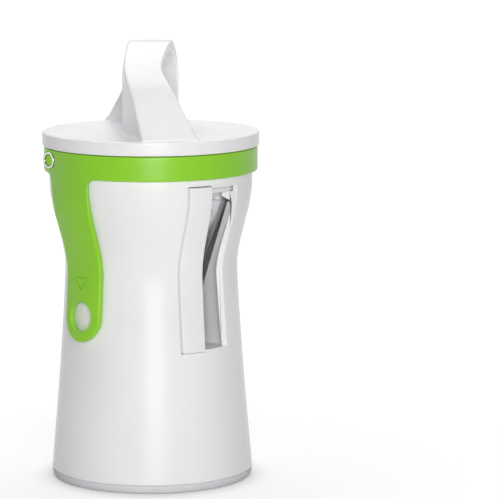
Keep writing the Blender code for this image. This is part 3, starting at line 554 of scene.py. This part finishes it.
def flat_plate(loops: list[Outline], thickness: float, edge: float, back_edge: float,
               steps: int) -> BMesh:
    """A flat plate with rounded edges, whose Z is the depth below its front.

    Args:
        loops: Its outline and then its holes, each with the plate on the left of its path.
        thickness: Its thickness.
        edge: Radius of its front edges.
        back_edge: Radius of its back edges.
        steps: Steps across each rounding.

    Returns:
        The closed plate as a bmesh in millimetres.
    """
    bm = bmesh.new()
    turns = between(0, pi / 2, steps)
    levels = [(edge * (1 - sin(t)), edge * (1 - cos(t))) for t in turns]
    levels += [(back_edge * (1 - cos(t)), thickness - back_edge * (1 - sin(t))) for t in turns]
    sides = []
    for loop in loops:
        points = [Vector(p) for p in loop]
        count = len(points)
        inward = []
        for i in range(count):
            along = (points[(i + 1) % count] - points[i - 1]).normalized()
            inward.append(Vector((-along.y, along.x)))
        rings = [[bm.verts.new((*(p + n * inset), depth)) for p, n in zip(points, inward)]
                 for inset, depth in levels]
        skin(bm, rings)
        sides.append((rings[0], rings[-1]))
    for rings in zip(*sides):
        rim = [bm.edges.get((ring[i - 1], ring[i])) for ring in rings for i in range(len(ring))]
        bmesh.ops.triangle_fill(bm, use_beauty=True, edges=rim)
    return bm


def rounded(outline: Outline, radius: float, steps: int) -> Outline:
    """Rounds an outline's corners, except on the axis and where it hardly turns.

    Args:
        outline: Its corner points.
        radius: The rounding, less where a side is short.
        steps: Steps across each corner.

    Returns:
        The outline with its corners rounded.
    """
    longest_share, straight = 0.45, radians(150)
    made: Outline = []
    for i, point in enumerate(outline):
        corner = Vector(point)
        back = Vector(outline[i - 1]) - corner
        ahead = Vector(outline[(i + 1) % len(outline)]) - corner
        if corner.x == 0 or not back.length or not ahead.length or back.angle(ahead) > straight:
            made.append(point)
            continue
        reach = min(radius, back.length * longest_share, ahead.length * longest_share)
        made += [spot[:] for spot in bend(corner + back.normalized() * reach, corner,
                                          corner + ahead.normalized() * reach, steps)]
    return made


def smooth_path(points: list[Vector], steps: int) -> list[Vector]:
    """A smooth curve through points.

    Args:
        points: The points it passes through.
        steps: How many steps lie between each two.

    Returns:
        The curve's points, ends included.
    """
    ends = [points[0] * 2 - points[1]] + points + [points[-1] * 2 - points[-2]]
    made = []
    for i in range(1, len(ends) - 2):
        p0, p1, p2, p3 = ends[i - 1:i + 3]
        for t in between(0, 1, steps)[:-1]:
            made.append(0.5 * (2 * p1 + (p2 - p0) * t + (2 * p0 - 5 * p1 + 4 * p2 - p3) * t**2
                               + (3 * p1 - p0 - 3 * p2 + p3) * t**3))
    return made + [points[-1]]


@dataclass
class Housing:
    """The hourglass body with its outlet window, its pad and the comb insert's face."""

    foot_r: float = 43.6
    waist_r: float = 37.19
    waist_z: float = 92.0
    shoulder_r: float = 43.7
    shoulder_z: float = 129.0
    foot_curve: float = 1.25
    bottom_z: float = 3.5
    top_z: float = 136.0
    wall: float = 2.2
    edge: float = 0.5
    ledge_r: float = 36.9
    ledge_low: float = 124.5
    ledge_high: float = 126.7
    window_low: float = 60.0
    window_high: float = 129.5
    cut_y: float = -7.0
    strip_left: float = 14.3
    strip_right: float = 4.0
    strip_proud: float = 1.0
    strip_sunk: float = 1.2
    strip_overrun: float = 0.8
    scoop_r: float = 14.0
    scoop_x: float = 1.5
    scoop_depth: float = 5.5
    gap: float = 0.3
    pad_height: float = 3.45
    catch_r: float = 38.6
    catch_low: float = 132.5
    catch_high: float = 134.2
    stop_low: float = 130.0
    stop_inset: float = 0.8
    stop_deg: float = 10.5
    bridge_deg: float = 8.0
    stop_width_deg: float = 3.0
    web_low: float = 64.0
    web_high: float = 122.5
    web_thick: float = 1.4
    web_gap: float = 1.0
    cone_r: float = 7.0
    cone_z: float = 62.0
    cone_slope: float = 28 / 67
    cone_wall: float = 2.0
    turn_steps: int = 160

    def radius(self, z: float) -> float:
        """Outer radius of the body at a height.

        Args:
            z: The height.

        Returns:
            The radius: it shrinks to the waist and swells to the shoulder, then stays.
        """
        if z < self.waist_z:
            share = (self.waist_z - z) / (self.waist_z - self.bottom_z)
            return self.waist_r + (self.foot_r - self.waist_r) * max(share, 0) ** self.foot_curve
        share = min((z - self.waist_z) / (self.shoulder_z - self.waist_z), 1)
        return self.waist_r + (self.shoulder_r - self.waist_r) * (3 - 2 * share) * share**2

    def side(self, low: float, high: float, offset: float, step: float = 3.0) -> Outline:
        """Points of the body's side from low to high, moved out by the offset."""
        count = max(round((high - low) / step), 1)
        return [(self.radius(z) + offset, z) for z in between(low, high, count)]

    def shell(self) -> None:
        """Builds the body with its window, its scooped ramp and the catches inside its top."""
        # These steps keep the rings clear of the window's corners, so that its edges round cleanly
        outer_step, inner_step = 2.63, 2.9
        edge = self.edge
        outer = self.side(self.bottom_z + edge, self.top_z - edge, 0, outer_step)[::-1]
        foot = [(self.foot_r - 0.15, self.bottom_z + 0.12), (self.foot_r - edge, self.bottom_z)]
        inner = self.side(self.bottom_z, self.ledge_low - self.wall, -self.wall, inner_step)
        top = [(self.ledge_r, self.ledge_low), (self.ledge_r, self.ledge_high),
               (self.radius(self.ledge_high) - self.wall, self.ledge_high),
               (self.shoulder_r - self.wall, self.top_z), (self.shoulder_r - edge, self.top_z)]
        shell = Solid.turned("body_shell", outer + foot + inner + top, self.turn_steps)
        front_y = -(self.foot_r + 10)
        window = Solid.block("window", (-(self.strip_right + 1), front_y, self.window_low),
                             (self.scoop_x + 3, self.cut_y, self.window_high))
        room = self.strip_overrun + self.gap
        pocket = Solid.block(
            "pocket", (-(self.strip_left + self.gap), front_y, self.window_low - room),
            (-(self.strip_right - self.gap), self.cut_y, self.window_high + room))
        scoop_y = -(self.waist_r + self.scoop_r - self.scoop_depth)
        scoop = Solid.turned("scoop", rod(self.scoop_r, self.window_low, self.window_high), 96,
                             Matrix.Translation((-self.scoop_x * MM, scoop_y * MM, 0)))
        shell.cut(window, pocket, scoop).round_edges(0.32, 3)
        self._catches(shell)
        shell.dress("housing", Slot.WHITE_SHELL, "outer_shell")

    def _catches(self, shell: Solid) -> None:
        """Adds the bayonet's catches to the shell, each with a stop and a bridge between them.

        Args:
            shell: The body.
        """
        outer = self.shoulder_r - self.wall / 2
        catch, stop = (self.catch_r, outer), (self.catch_r + self.stop_inset, outer)
        levels, stop_levels = (self.catch_low, self.catch_high), (self.stop_low, self.catch_high)
        for turn in BAYONET_DEG:
            shell.join(
                Solid.sector("catch", catch, levels, turn, BAYONET_WIDTH_DEG),
                Solid.sector("stop", stop, stop_levels, turn + self.stop_deg, self.stop_width_deg),
                Solid.sector("bridge", stop, levels, turn + self.bridge_deg, self.stop_width_deg))

    def pad(self) -> None:
        """Builds the soft pad under the body: it is rounded towards the table, hollow inside."""
        r, top = self.foot_r - 0.2, self.pad_height
        outline = [(0, top), (r - 0.2, top), (r, top - 0.2), (r, top - 0.9), (r - 0.15, top - 1.6),
                   (r - 0.4, top - 2.3), (r - 0.7, 0.45), (r - 1.1, 0.1), (r - 1.6, 0.0),
                   (r - 6.0, 0.0), (r - 6.4, 0.4), (0, 0.4)]
        pad = Solid.turned("base_pad_soft", outline, self.turn_steps)
        pad.dress("housing", Slot.SOFT_GREY, "base_pad")

    def insert(self) -> None:
        """Builds the upright face of the comb insert, with its web behind it."""
        low = self.window_low - self.strip_overrun
        high = self.window_high + self.strip_overrun
        outline = self.side(low, high, self.strip_proud, 2.5)[::-1]
        outline += self.side(low, high, -self.strip_sunk, 2.5)
        face = Solid.turned("insert_bar", outline, self.turn_steps)
        face.keep(Solid.block("keep", (-self.strip_left, -60, low - 1),
                              (-self.strip_right, 0, high + 1)))
        face.round_edges(0.45, 4)
        web_x = -(self.strip_right + 1.0)
        shell_side = [(-(sqrt((r - self.strip_sunk * 0.5) ** 2 - web_x**2)), z)
                      for r, z in self.side(self.web_low, self.web_high, 0)]
        cone_out = (self.cone_wall + self.web_gap) * sqrt(1 + self.cone_slope**2)
        cone_side = [(-(self.cone_r + (z - self.cone_z) * self.cone_slope + cone_out), z)
                     for z in (self.web_high, self.web_low)]
        face.join(Solid.plate("web", shell_side + cone_side, self.web_thick,
                              Matrix.Translation((web_x * MM, 0, 0)) @ YZ_PLANE))
        face.dress("comb_insert", Slot.WHITE_SHELL, "insert_face")


@dataclass
class Collar:
    """The green ring with its hopper, its hanging tab and its round button."""

    body: Housing
    band_r: float = 46.0
    band_inner_r: float = 43.5
    top_z: float = 144.0
    skirt_z: float = 133.5
    ledge_z: float = 140.5
    ledge_r: float = 42.3
    neck_r: float = 37.6
    neck_z: float = 135.33
    neck_low: float = 133.8
    mouth_r: float = 36.4
    mouth_z: float = 130.6
    hopper_wall: float = 1.8
    gap: float = 0.3
    lug_r: float = 40.6
    lug_levels: tuple[float, float] = (130.6, 132.2)
    tab_clear: float = 0.7
    tab_thick: float = 2.7
    tab_edge: float = 0.6
    tab_back_edge: float = 1.3
    tab_low: float = 63.0
    tab_half: float = 10.4
    tab_y: float = -1.4
    tab_top_front: float = 10.8
    tab_top_back: float = 15.0
    tab_fillet: float = 2.9
    hole_r: float = 6.3
    hole_z: float = 73.8
    mark_z: float = 85.2
    mark_width: float = 8.8
    mark_height: float = 5.6
    groove_half: float = 0.4
    groove_depth: float = 4.0
    button_centre: tuple[float, float, float] = (-44.5, 14.6, 139.6)
    button_r: float = 2.3
    bezel_r: float = 3.5
    turn_steps: int = 240

    def button_place(self) -> Matrix:
        """Matrix at the button's face whose Z points out of the collar."""
        centre = Matrix.Translation(Vector(self.button_centre) * MM)
        return centre @ Matrix.Rotation(-pi / 2, 4, "Y")

    def ring_outline(self) -> Outline:
        """The ring and hopper's section.

        Returns:
            The section, with moulded radii on its edges.
        """
        shoulder, under = self.body.shoulder_r + self.gap, self.body.top_z + self.gap
        outline = [(self.band_inner_r, self.top_z), (self.band_r, self.top_z),
                   (self.band_r, self.skirt_z), (shoulder, self.skirt_z), (shoulder, under),
                   (self.neck_r + self.hopper_wall * 1.6, under),
                   (self.neck_r + 1.4, self.neck_low),
                   (self.mouth_r + self.hopper_wall, self.mouth_z), (self.mouth_r, self.mouth_z),
                   (self.neck_r, self.neck_z), (self.ledge_r, self.ledge_z),
                   (self.band_inner_r, self.ledge_z)]
        return rounded(outline, 0.8, 5)

    def tab_outer(self, z: float) -> float:
        """Outer radius of the tab at a height: it follows the body, then eases into the band.

        Args:
            z: The height.

        Returns:
            The radius.
        """
        free = self.body.radius(z) + self.tab_clear + self.tab_thick
        limit = self.band_r + 0.02
        share = min(max(0.5 + 0.5 * (limit - free), 0), 1)
        return limit * (1 - share) + free * share - share * (1 - share)

    def tab_outline(self) -> Outline:
        """The tab's outline: a round end, straight sides and a flare with fillets at the ring.

        Returns:
            Its (y, z) points.
        """
        end = [(self.tab_y + self.tab_half * cos(a), self.tab_low + self.tab_half * (1 + sin(a)))
               for a in between(pi, 2 * pi, 40)]
        run = self.skirt_z - self.body.waist_z
        ease = smooth_path([Vector(p) for p in ((0.0, 1.0), (0.12, 0.75), (0.45, 0.45),
                                                (0.85, 0.15), (1.0, 0.0))], 6)
        r = self.tab_fillet
        fillet = [(r * (1 - cos(a)), r * (sin(a) - 1)) for a in between(0, pi / 2, 6)]
        sides = []
        for way, top in ((1, self.tab_top_back), (-1, -self.tab_top_front)):
            foot = self.tab_y + way * self.tab_half
            flare = [(foot + (top - foot) * e.x, self.skirt_z - run * e.y) for e in ease]
            side = [p for p in flare if p[1] < self.skirt_z - r]
            side += [(top + way * dy, self.skirt_z + dz) for dy, dz in fillet]
            sides.append(side + [(side[-1][0], self.top_z - 1.5)])
        right, left = sides
        return end + right + left[::-1]

    def tab(self) -> Solid:
        """Builds the tab: a flat plate with rounded edges and a hole, laid round the body.

        Returns:
            The tab, ready to be joined to the ring.
        """
        hole = [(self.tab_y + self.hole_r * cos(a), self.hole_z + self.hole_r * sin(a))
                for a in between(0, 2 * pi, 56)[:-1]]
        bm = flat_plate([self.tab_outline(), hole[::-1]], self.tab_thick, self.tab_edge,
                        self.tab_back_edge, 5)
        # Lines of points across the flat plate let it follow the body's curves
        planes = [((y, 0, 0), (1, 0, 0)) for y in between(-12, 16, 18)]
        planes += [((0, z, 0), (0, 1, 0)) for z in between(self.tab_low + 1, self.top_z - 2.5, 44)]
        for point, normal in planes:
            bmesh.ops.bisect_plane(bm, geom=[*bm.verts, *bm.edges, *bm.faces], dist=1e-5,
                                   plane_co=point, plane_no=normal)
        for v in bm.verts:
            y, z, depth = v.co
            if depth < self.tab_thick / 2:
                r = self.tab_outer(z) - depth
            else:
                r = self.body.radius(z) + self.tab_clear + self.tab_thick - depth
            v.co = Vector((-sqrt(r**2 - y**2), y, z)) * MM
        return Solid("tab", bm).cut(*self._mark())

    def _mark(self) -> list[Solid]:
        """Makes the cutters of the tab's downward triangle.

        Returns:
            One bar for each of its three grooves.
        """
        top = self.mark_z + self.mark_height
        half = self.mark_width / 2
        corners = [(self.tab_y - half, top), (self.tab_y + half, top), (self.tab_y, self.mark_z)]
        face = self.tab_outer(self.mark_z + self.mark_height / 2)
        grooves = []
        for n in range(3):
            (y0, z0), (y1, z1) = corners[n], corners[(n + 1) % 3]
            run = hypot(y1 - y0, z1 - z0)
            turn = Matrix.Rotation(atan2(z1 - z0, y1 - y0), 4, "X")
            middle = Vector((-face, (y0 + y1) / 2, (z0 + z1) / 2)) * MM
            grooves.append(Solid.block(
                f"groove_{n}", (-self.groove_depth, -run / 2, -self.groove_half),
                (0.5, run / 2, self.groove_half), Matrix.Translation(middle) @ turn))
        return grooves

    def ring(self) -> None:
        """Builds the whole green moulding."""
        ring = Solid.turned("collar_moulding", self.ring_outline(), self.turn_steps)
        for turn in BAYONET_DEG:
            ring.join(Solid.sector("lug", (self.mouth_r + 0.9, self.lug_r), self.lug_levels, turn,
                                   BAYONET_WIDTH_DEG))
        ring.join(self.tab())
        place = self.button_place()
        r = self.bezel_r
        boss = Solid.turned("boss", [(0, 0), (r + 0.6, 0), (r + 0.9, -0.3), (r + 1.0, -3), (0, -3)],
                            48, place)
        boss.cut(Solid.turned("trim", rod(self.body.shoulder_r + self.gap, 120, 160), 96))
        ring.join(boss)
        ring.cut(Solid.turned("seat", rod(r + 0.3, -0.5, 3), 48, place),
                 Solid.turned("well", rod(self.button_r + 0.9, -2, 1), 48, place))
        ring.dress("collar", Slot.GREEN_COLLAR, "collar")

    def button(self) -> None:
        """Builds the crowned button and the polished ring round it."""
        place = self.button_place()
        r, inner = self.button_r, self.button_r + 0.3
        bezel = rounded([(self.bezel_r, 0.5), (self.bezel_r, -0.2), (inner, -0.2), (inner, 0.5)],
                        0.3, 4)
        Solid.turned("button_ring", bezel, 64, place).dress(
            "collar", Slot.POLISHED_STEEL, "button_bezel")
        crown = [(r * s, 0.6 - 0.28 * s**2) for s in (0, 0.3, 0.6, 0.85)]
        outline = crown + [(r, 0.1), (r, -0.5), (r + 0.5, -0.5), (r + 0.5, -0.9), (0, -0.9)]
        Solid.turned("button_cap", outline, 48, place).dress(
            "button", Slot.GREEN_COLLAR, "release_button")


@dataclass
class Holder:
    """The food holder: disc, twisted arch handle, skirt and the loose ring that guides it."""

    disc_r: float = 46.7
    low_z: float = 144.3
    top_z: float = 150.3
    top_wall: float = 2.5
    guide_r: float = 43.0
    guide_inner_r: float = 39.4
    guide_low: float = 140.8
    guide_high: float = 144.0
    gap: float = 0.3
    skirt_r: float = 38.8
    skirt_wall: float = 2.0
    snap_z: float = 140.5
    snap_height: float = 0.6
    snap_proud: float = 1.8
    plate_ring: float = 12.95
    boss_r: float = 3.2
    boss_low: float = 143.6
    screw_hole_r: float = 1.3
    rise: float = 39.0
    turn_deg: float = -41.0
    corner: float = 1.7
    flare: float = 1.3
    turn_steps: int = 192

    def rails(self) -> list[list[Vector]]:
        """The arch's four corner rails from its front foot over the top to its rear foot.

        Returns:
            The rails in metres, in the handle's own frame.
        """
        # Each point is its x and y as shares of the disc's radius, then its z as one of the rise
        top, under = 0.203, 0.885
        shares = (
            [(-0.069, -0.981, 0), (-0.119, -0.897, 0.24), (-0.165, -0.795, 0.47),
             (-0.212, -0.688, 0.615), (-0.238, -0.535, 0.755), (-0.227, -0.300, 0.905),
             (-top, 0, 1)],
            [(0.439, -0.880, 0), (0.335, -0.822, 0.24), (0.238, -0.748, 0.47),
             (0.167, -0.652, 0.615), (0.111, -0.514, 0.755), (0.146, -0.296, 0.905), (top, 0, 1)],
            [(0.385, -0.771, 0), (0.286, -0.728, 0.22), (0.201, -0.665, 0.43),
             (0.141, -0.568, 0.55), (0.103, -0.439, 0.67), (0.137, -0.257, 0.805),
             (top, 0, under)],
            [(-0.263, -0.263, 0), (-0.263, -0.263, 0.20), (-0.263, -0.263, 0.40),
             (-0.263, -0.263, 0.56), (-0.255, -0.240, 0.70), (-0.231, -0.150, 0.818),
             (-top, 0, under)],
        )
        front = [[Vector((x * self.disc_r, y * self.disc_r, z * self.rise)) * MM
                  for x, y, z in rail] for rail in shares]
        half_turn = Matrix.Rotation(pi, 3, "Z")
        rear = [[half_turn @ p for p in front[i][-2::-1]] for i in (1, 0, 3, 2)]
        return [smooth_path(ahead + behind, 9) for ahead, behind in zip(front, rear)]

    def section(self, corners: list[Vector], outward: float) -> list[Vector]:
        """One section of the arch with rounded corners.

        Args:
            corners: Its four corners in metres.
            outward: How far its sides are moved out, in metres, for the fillet at the foot.

        Returns:
            The section's points in order, all of them inside the disc's edge.
        """
        middle = sum(corners, Vector()) / 4
        limit = (self.disc_r - 0.5) * MM
        moved = []
        for p in corners:
            out = p + (p - middle).normalized() * outward
            flat = out.to_2d()
            if flat.length > limit:
                flat = flat.normalized() * limit
            moved.append(Vector((flat.x, flat.y, out.z)))
        ring = []
        for i, p in enumerate(moved):
            back, ahead = moved[i - 1] - p, moved[(i + 1) % 4] - p
            reach = [min(self.corner * MM, e.length * 0.34) for e in (back, ahead)]
            ring += bend(p + back.normalized() * reach[0], p, p + ahead.normalized() * reach[1], 6)
        return ring

    def foot(self, corners: list[Vector]) -> list[list[Vector]]:
        """Sections of the fillet where a foot of the arch meets the disc, from inside it up."""
        steps = ((-1.2, 1.25), (0.05, 1.25), (0.25, 0.8), (0.6, 0.35), (1.1, 0.08))
        return [self.section([p + Vector((0, 0, height * MM)) for p in corners],
                             out * self.flare * MM) for height, out in steps]

    def handle(self) -> Solid:
        """Lofts the twisted arch with its two feet.

        Returns:
            The handle, ready to be joined to the disc.
        """
        sections = [list(s) for s in zip(*self.rails())]
        arch = [self.section(corners, 0.0) for corners in sections[2:-2]]
        rings = self.foot(sections[0]) + arch + self.foot(sections[-1])[::-1]
        bm = bmesh.new()
        loops = [[bm.verts.new(p) for p in ring] for ring in rings]
        skin(bm, loops)
        bm.faces.new(loops[0][::-1])
        bm.faces.new(loops[-1])
        turn = Matrix.Rotation(radians(self.turn_deg), 4, "Z")
        return Solid("handle", bm, Matrix.Translation((0, 0, self.top_z * MM)) @ turn)

    def cap(self) -> None:
        """Builds the disc with its skirt, bosses and handle as one moulding."""
        under, rim_in = self.top_z - self.top_wall, self.guide_r + self.gap
        skirt_in, snap_low = self.skirt_r - self.skirt_wall, self.snap_z - self.snap_height
        rim = rounded([(0, self.top_z), (self.disc_r, self.top_z), (self.disc_r, self.low_z),
                       (rim_in, self.low_z), (rim_in, under)], 0.9, 6)
        skirt = [(self.skirt_r, under), (self.skirt_r, self.snap_z),
                 (self.skirt_r + self.snap_proud, self.snap_z - 0.12), (self.skirt_r, snap_low),
                 (skirt_in, snap_low), (skirt_in, under), (0, under)]
        cap = Solid.turned("holder_moulding", rim + skirt, self.turn_steps)
        cap.join(self.handle())
        for n in range(3):
            spot = Matrix.Translation((*around(radians(120 * n), self.plate_ring * MM), 0))
            cap.join(Solid.turned("boss", rod(self.boss_r, self.boss_low, under + 1), 32, spot))
            cap.cut(Solid.turned("hole", rod(self.screw_hole_r, 140, under - 0.6), 24, spot))
        cap.dress("holder", Slot.WHITE_SHELL, "holder_cap", sharp_deg=50)

    def guide(self) -> None:
        """Builds the stepped white ring that seats in the collar."""
        outline = rounded([(self.guide_r, self.guide_high), (self.guide_r, self.guide_low),
                           (self.guide_inner_r, self.guide_low),
                           (self.guide_inner_r, self.guide_high)], 0.6, 5)
        ring = Solid.turned("guide_moulding", outline, self.turn_steps)
        ring.dress("guide", Slot.WHITE_SHELL, "guide_ring")


def finish_frame() -> None:
    """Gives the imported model's shown pieces the finishes of their material slots."""
    slots = {s.slot_name: s for s in Slot}
    for entry in frame["record"]["subparts"]:
        piece = frame["nodes"][entry["node"]]
        if piece.hide_render:
            continue
        for place in piece.material_slots:
            place.material = slots[entry["material_slot"]].material()
        LOG.info("%s: finish %s", piece.name, entry["material_slot"])


@dataclass
class Studio:
    """A pale floor, soft lamps and the camera at the photograph's viewing angle, all in metres."""

    azimuth_deg: float = -40.7
    distance: float = 1.35
    camera_z: float = 0.300
    aim_z: float = 0.0982
    aim_right: float = 0.0427
    lens_mm: float = 227.0
    sensor_mm: float = 36.0
    floor_half: float = 3.0
    lamp_distance: float = 1.6
    lamp_aim_z: float = 0.09

    def seen_directly(self, tree: NodeTree) -> NodeSocket:
        """Tells rays from the camera, a mirror or glass from those of the light itself.

        Args:
            tree: The material's or world's node tree.

        Returns:
            A value of 1 for the first kind and 0 for the second.
        """
        rays = add_node(tree, "ShaderNodeLightPath")
        seen = rays.outputs["Is Camera Ray"]
        for kind in ("Is Glossy Ray", "Is Transmission Ray"):
            seen = add_node(tree, "ShaderNodeMath", {"operation": "MAXIMUM"},
                            {0: seen, 1: rays.outputs[kind]}).outputs[0]
        return seen

    def paper(self) -> Material:
        """White paper, darker round the foot by painted shade, that fades to pure white further
        out.

        Returns:
            The material with its nodes.
        """
        nodes = Shading("paper_white")
        seen = self.seen_directly(nodes.tree)
        nodes.mix_colours("C6C6C8", "FFFFFF", seen)
        nodes.shader.inputs["Roughness"].default_value = 0.9
        glow = add_node(nodes.tree, "ShaderNodeEmission",
                        {"Color": linear("FFFFFF"), "Strength": 1.06})
        reach = add_node(nodes.tree, "ShaderNodeVectorMath", {"operation": "LENGTH"},
                         {0: nodes.place}).outputs["Value"]
        # The paper shades to pure white a hand's width from the object, where no shadow falls
        fade = add_node(nodes.tree, "ShaderNodeMapRange",
                        {"interpolation_type": "SMOOTHSTEP", "From Min": 0.06, "From Max": 0.26,
                         "To Min": 0.62, "To Max": 1.0}, {"Value": reach}).outputs[0]
        # Painted contact shadow: less glow in the last millimetres before the foot darkens them
        painted_contact_shade = nodes.stretch(reach, (0.043, 0.053), (0.3, 1))
        near = nodes.maths("MULTIPLY", {}, {0: painted_contact_shade, 1: fade})
        share = nodes.maths("MULTIPLY", {}, {0: seen, 1: near})
        mix = add_node(nodes.tree, "ShaderNodeMixShader", {},
                       {0: share, 1: nodes.shader.outputs[0], 2: glow.outputs[0]})
        nodes.tree.links.new(mix.outputs[0], nodes.tree.nodes["Material Output"].inputs["Surface"])
        return nodes.material

    def floor(self) -> None:
        """Lays the paper sweep that the object stands on."""
        bm = bmesh.new()
        h, below = self.floor_half, -0.0001
        bm.faces.new([bm.verts.new((x, y, below)) for x, y in ((-h, -h), (h, -h), (h, h), (-h, h))])
        floor = Solid("floor", bm).obj
        floor.data.materials.append(self.paper())

    def world(self) -> None:
        """Lights the scene evenly with a pale sky that looks white to the camera."""
        world = bpy.data.worlds.new("studio")
        bpy.context.scene.world = world
        world.use_nodes = True
        tree = world.node_tree
        tree.nodes.clear()
        sky = add_node(tree, "ShaderNodeBackground", {"Color": linear("DFE1F6"), "Strength": 0.14})
        white = add_node(tree, "ShaderNodeBackground", {"Color": linear("FFFFFF"), "Strength": 1.0})
        mix = add_node(tree, "ShaderNodeMixShader", {}, {0: self.seen_directly(tree),
                                                         1: sky.outputs[0], 2: white.outputs[0]})
        add_node(tree, "ShaderNodeOutputWorld", {}, {"Surface": mix.outputs[0]})

    def set_up(self, name: str, data: bpy.types.ID, place: Vector, facing: Vector) -> None:
        """Puts a lamp or a camera into the scene.

        Args:
            name: Its name.
            data: Its lamp or camera data.
            place: Where it stands.
            facing: The direction that it faces.
        """
        made = bpy.data.objects.new(name, data)
        bpy.context.scene.collection.objects.link(made)
        made.location = place
        made.rotation_mode = "QUATERNION"
        made.rotation_quaternion = facing.to_track_quat("-Z", "Y")

    def lamp(self, name: str, turn_deg: float, elevation_deg: float, size: float, power: float,
             colour: str) -> None:
        """Hangs one soft square lamp that faces the object.

        Args:
            name: The lamp's name.
            turn_deg: How far round it hangs from the camera.
            elevation_deg: Its height above the horizon.
            size: Its side in metres.
            power: Its power in watts.
            colour: Its sRGB hex colour.
        """
        data = bpy.data.lights.new(name, "AREA")
        data.size = size
        data.energy = power
        data.color = linear(colour)[:3]
        turn, rise = radians(self.azimuth_deg + turn_deg), radians(elevation_deg)
        away = Vector((*around(turn, cos(rise)), sin(rise)))
        self.set_up(name, data, away * self.lamp_distance + Vector((0, 0, self.lamp_aim_z)), -away)

    def camera(self) -> None:
        """Sets up the camera."""
        data = bpy.data.cameras.new("camera")
        data.sensor_width = self.sensor_mm
        data.lens = self.lens_mm
        data.clip_start = 0.05
        data.clip_end = 50
        turn = radians(self.azimuth_deg)
        place = Vector((*around(turn, self.distance), self.camera_z))
        right = Vector((cos(turn), sin(turn), 0))
        aim = right * self.aim_right + Vector((0, 0, self.aim_z))
        self.set_up("camera", data, place, aim - place)
        bpy.context.scene.camera = bpy.data.objects["camera"]

    def build(self) -> None:
        """Sets the whole stage."""
        bpy.context.scene.view_settings.view_transform = "Standard"
        self.floor()
        self.world()
        # The key lamp draws the long highlight down the front, and the top lamp lifts the disc
        self.lamp("key_lamp", turn_deg=4, elevation_deg=11, size=0.6, power=16.9, colour="FFFCF9")
        self.lamp("top_lamp", turn_deg=180, elevation_deg=66, size=1.7, power=22.0, colour="FFFDFB")
        self.camera()
        LOG.info("studio: camera at azimuth %.0f", self.azimuth_deg)


def main() -> None:
    """Builds every sub-assembly in order."""
    Studio().build()
    housing = Housing()
    housing.shell()
    housing.pad()
    housing.insert()
    collar = Collar(housing)
    collar.ring()
    collar.button()
    holder = Holder()
    holder.cap()
    holder.guide()
    finish_frame()


if __name__ == "__main__":
    main()
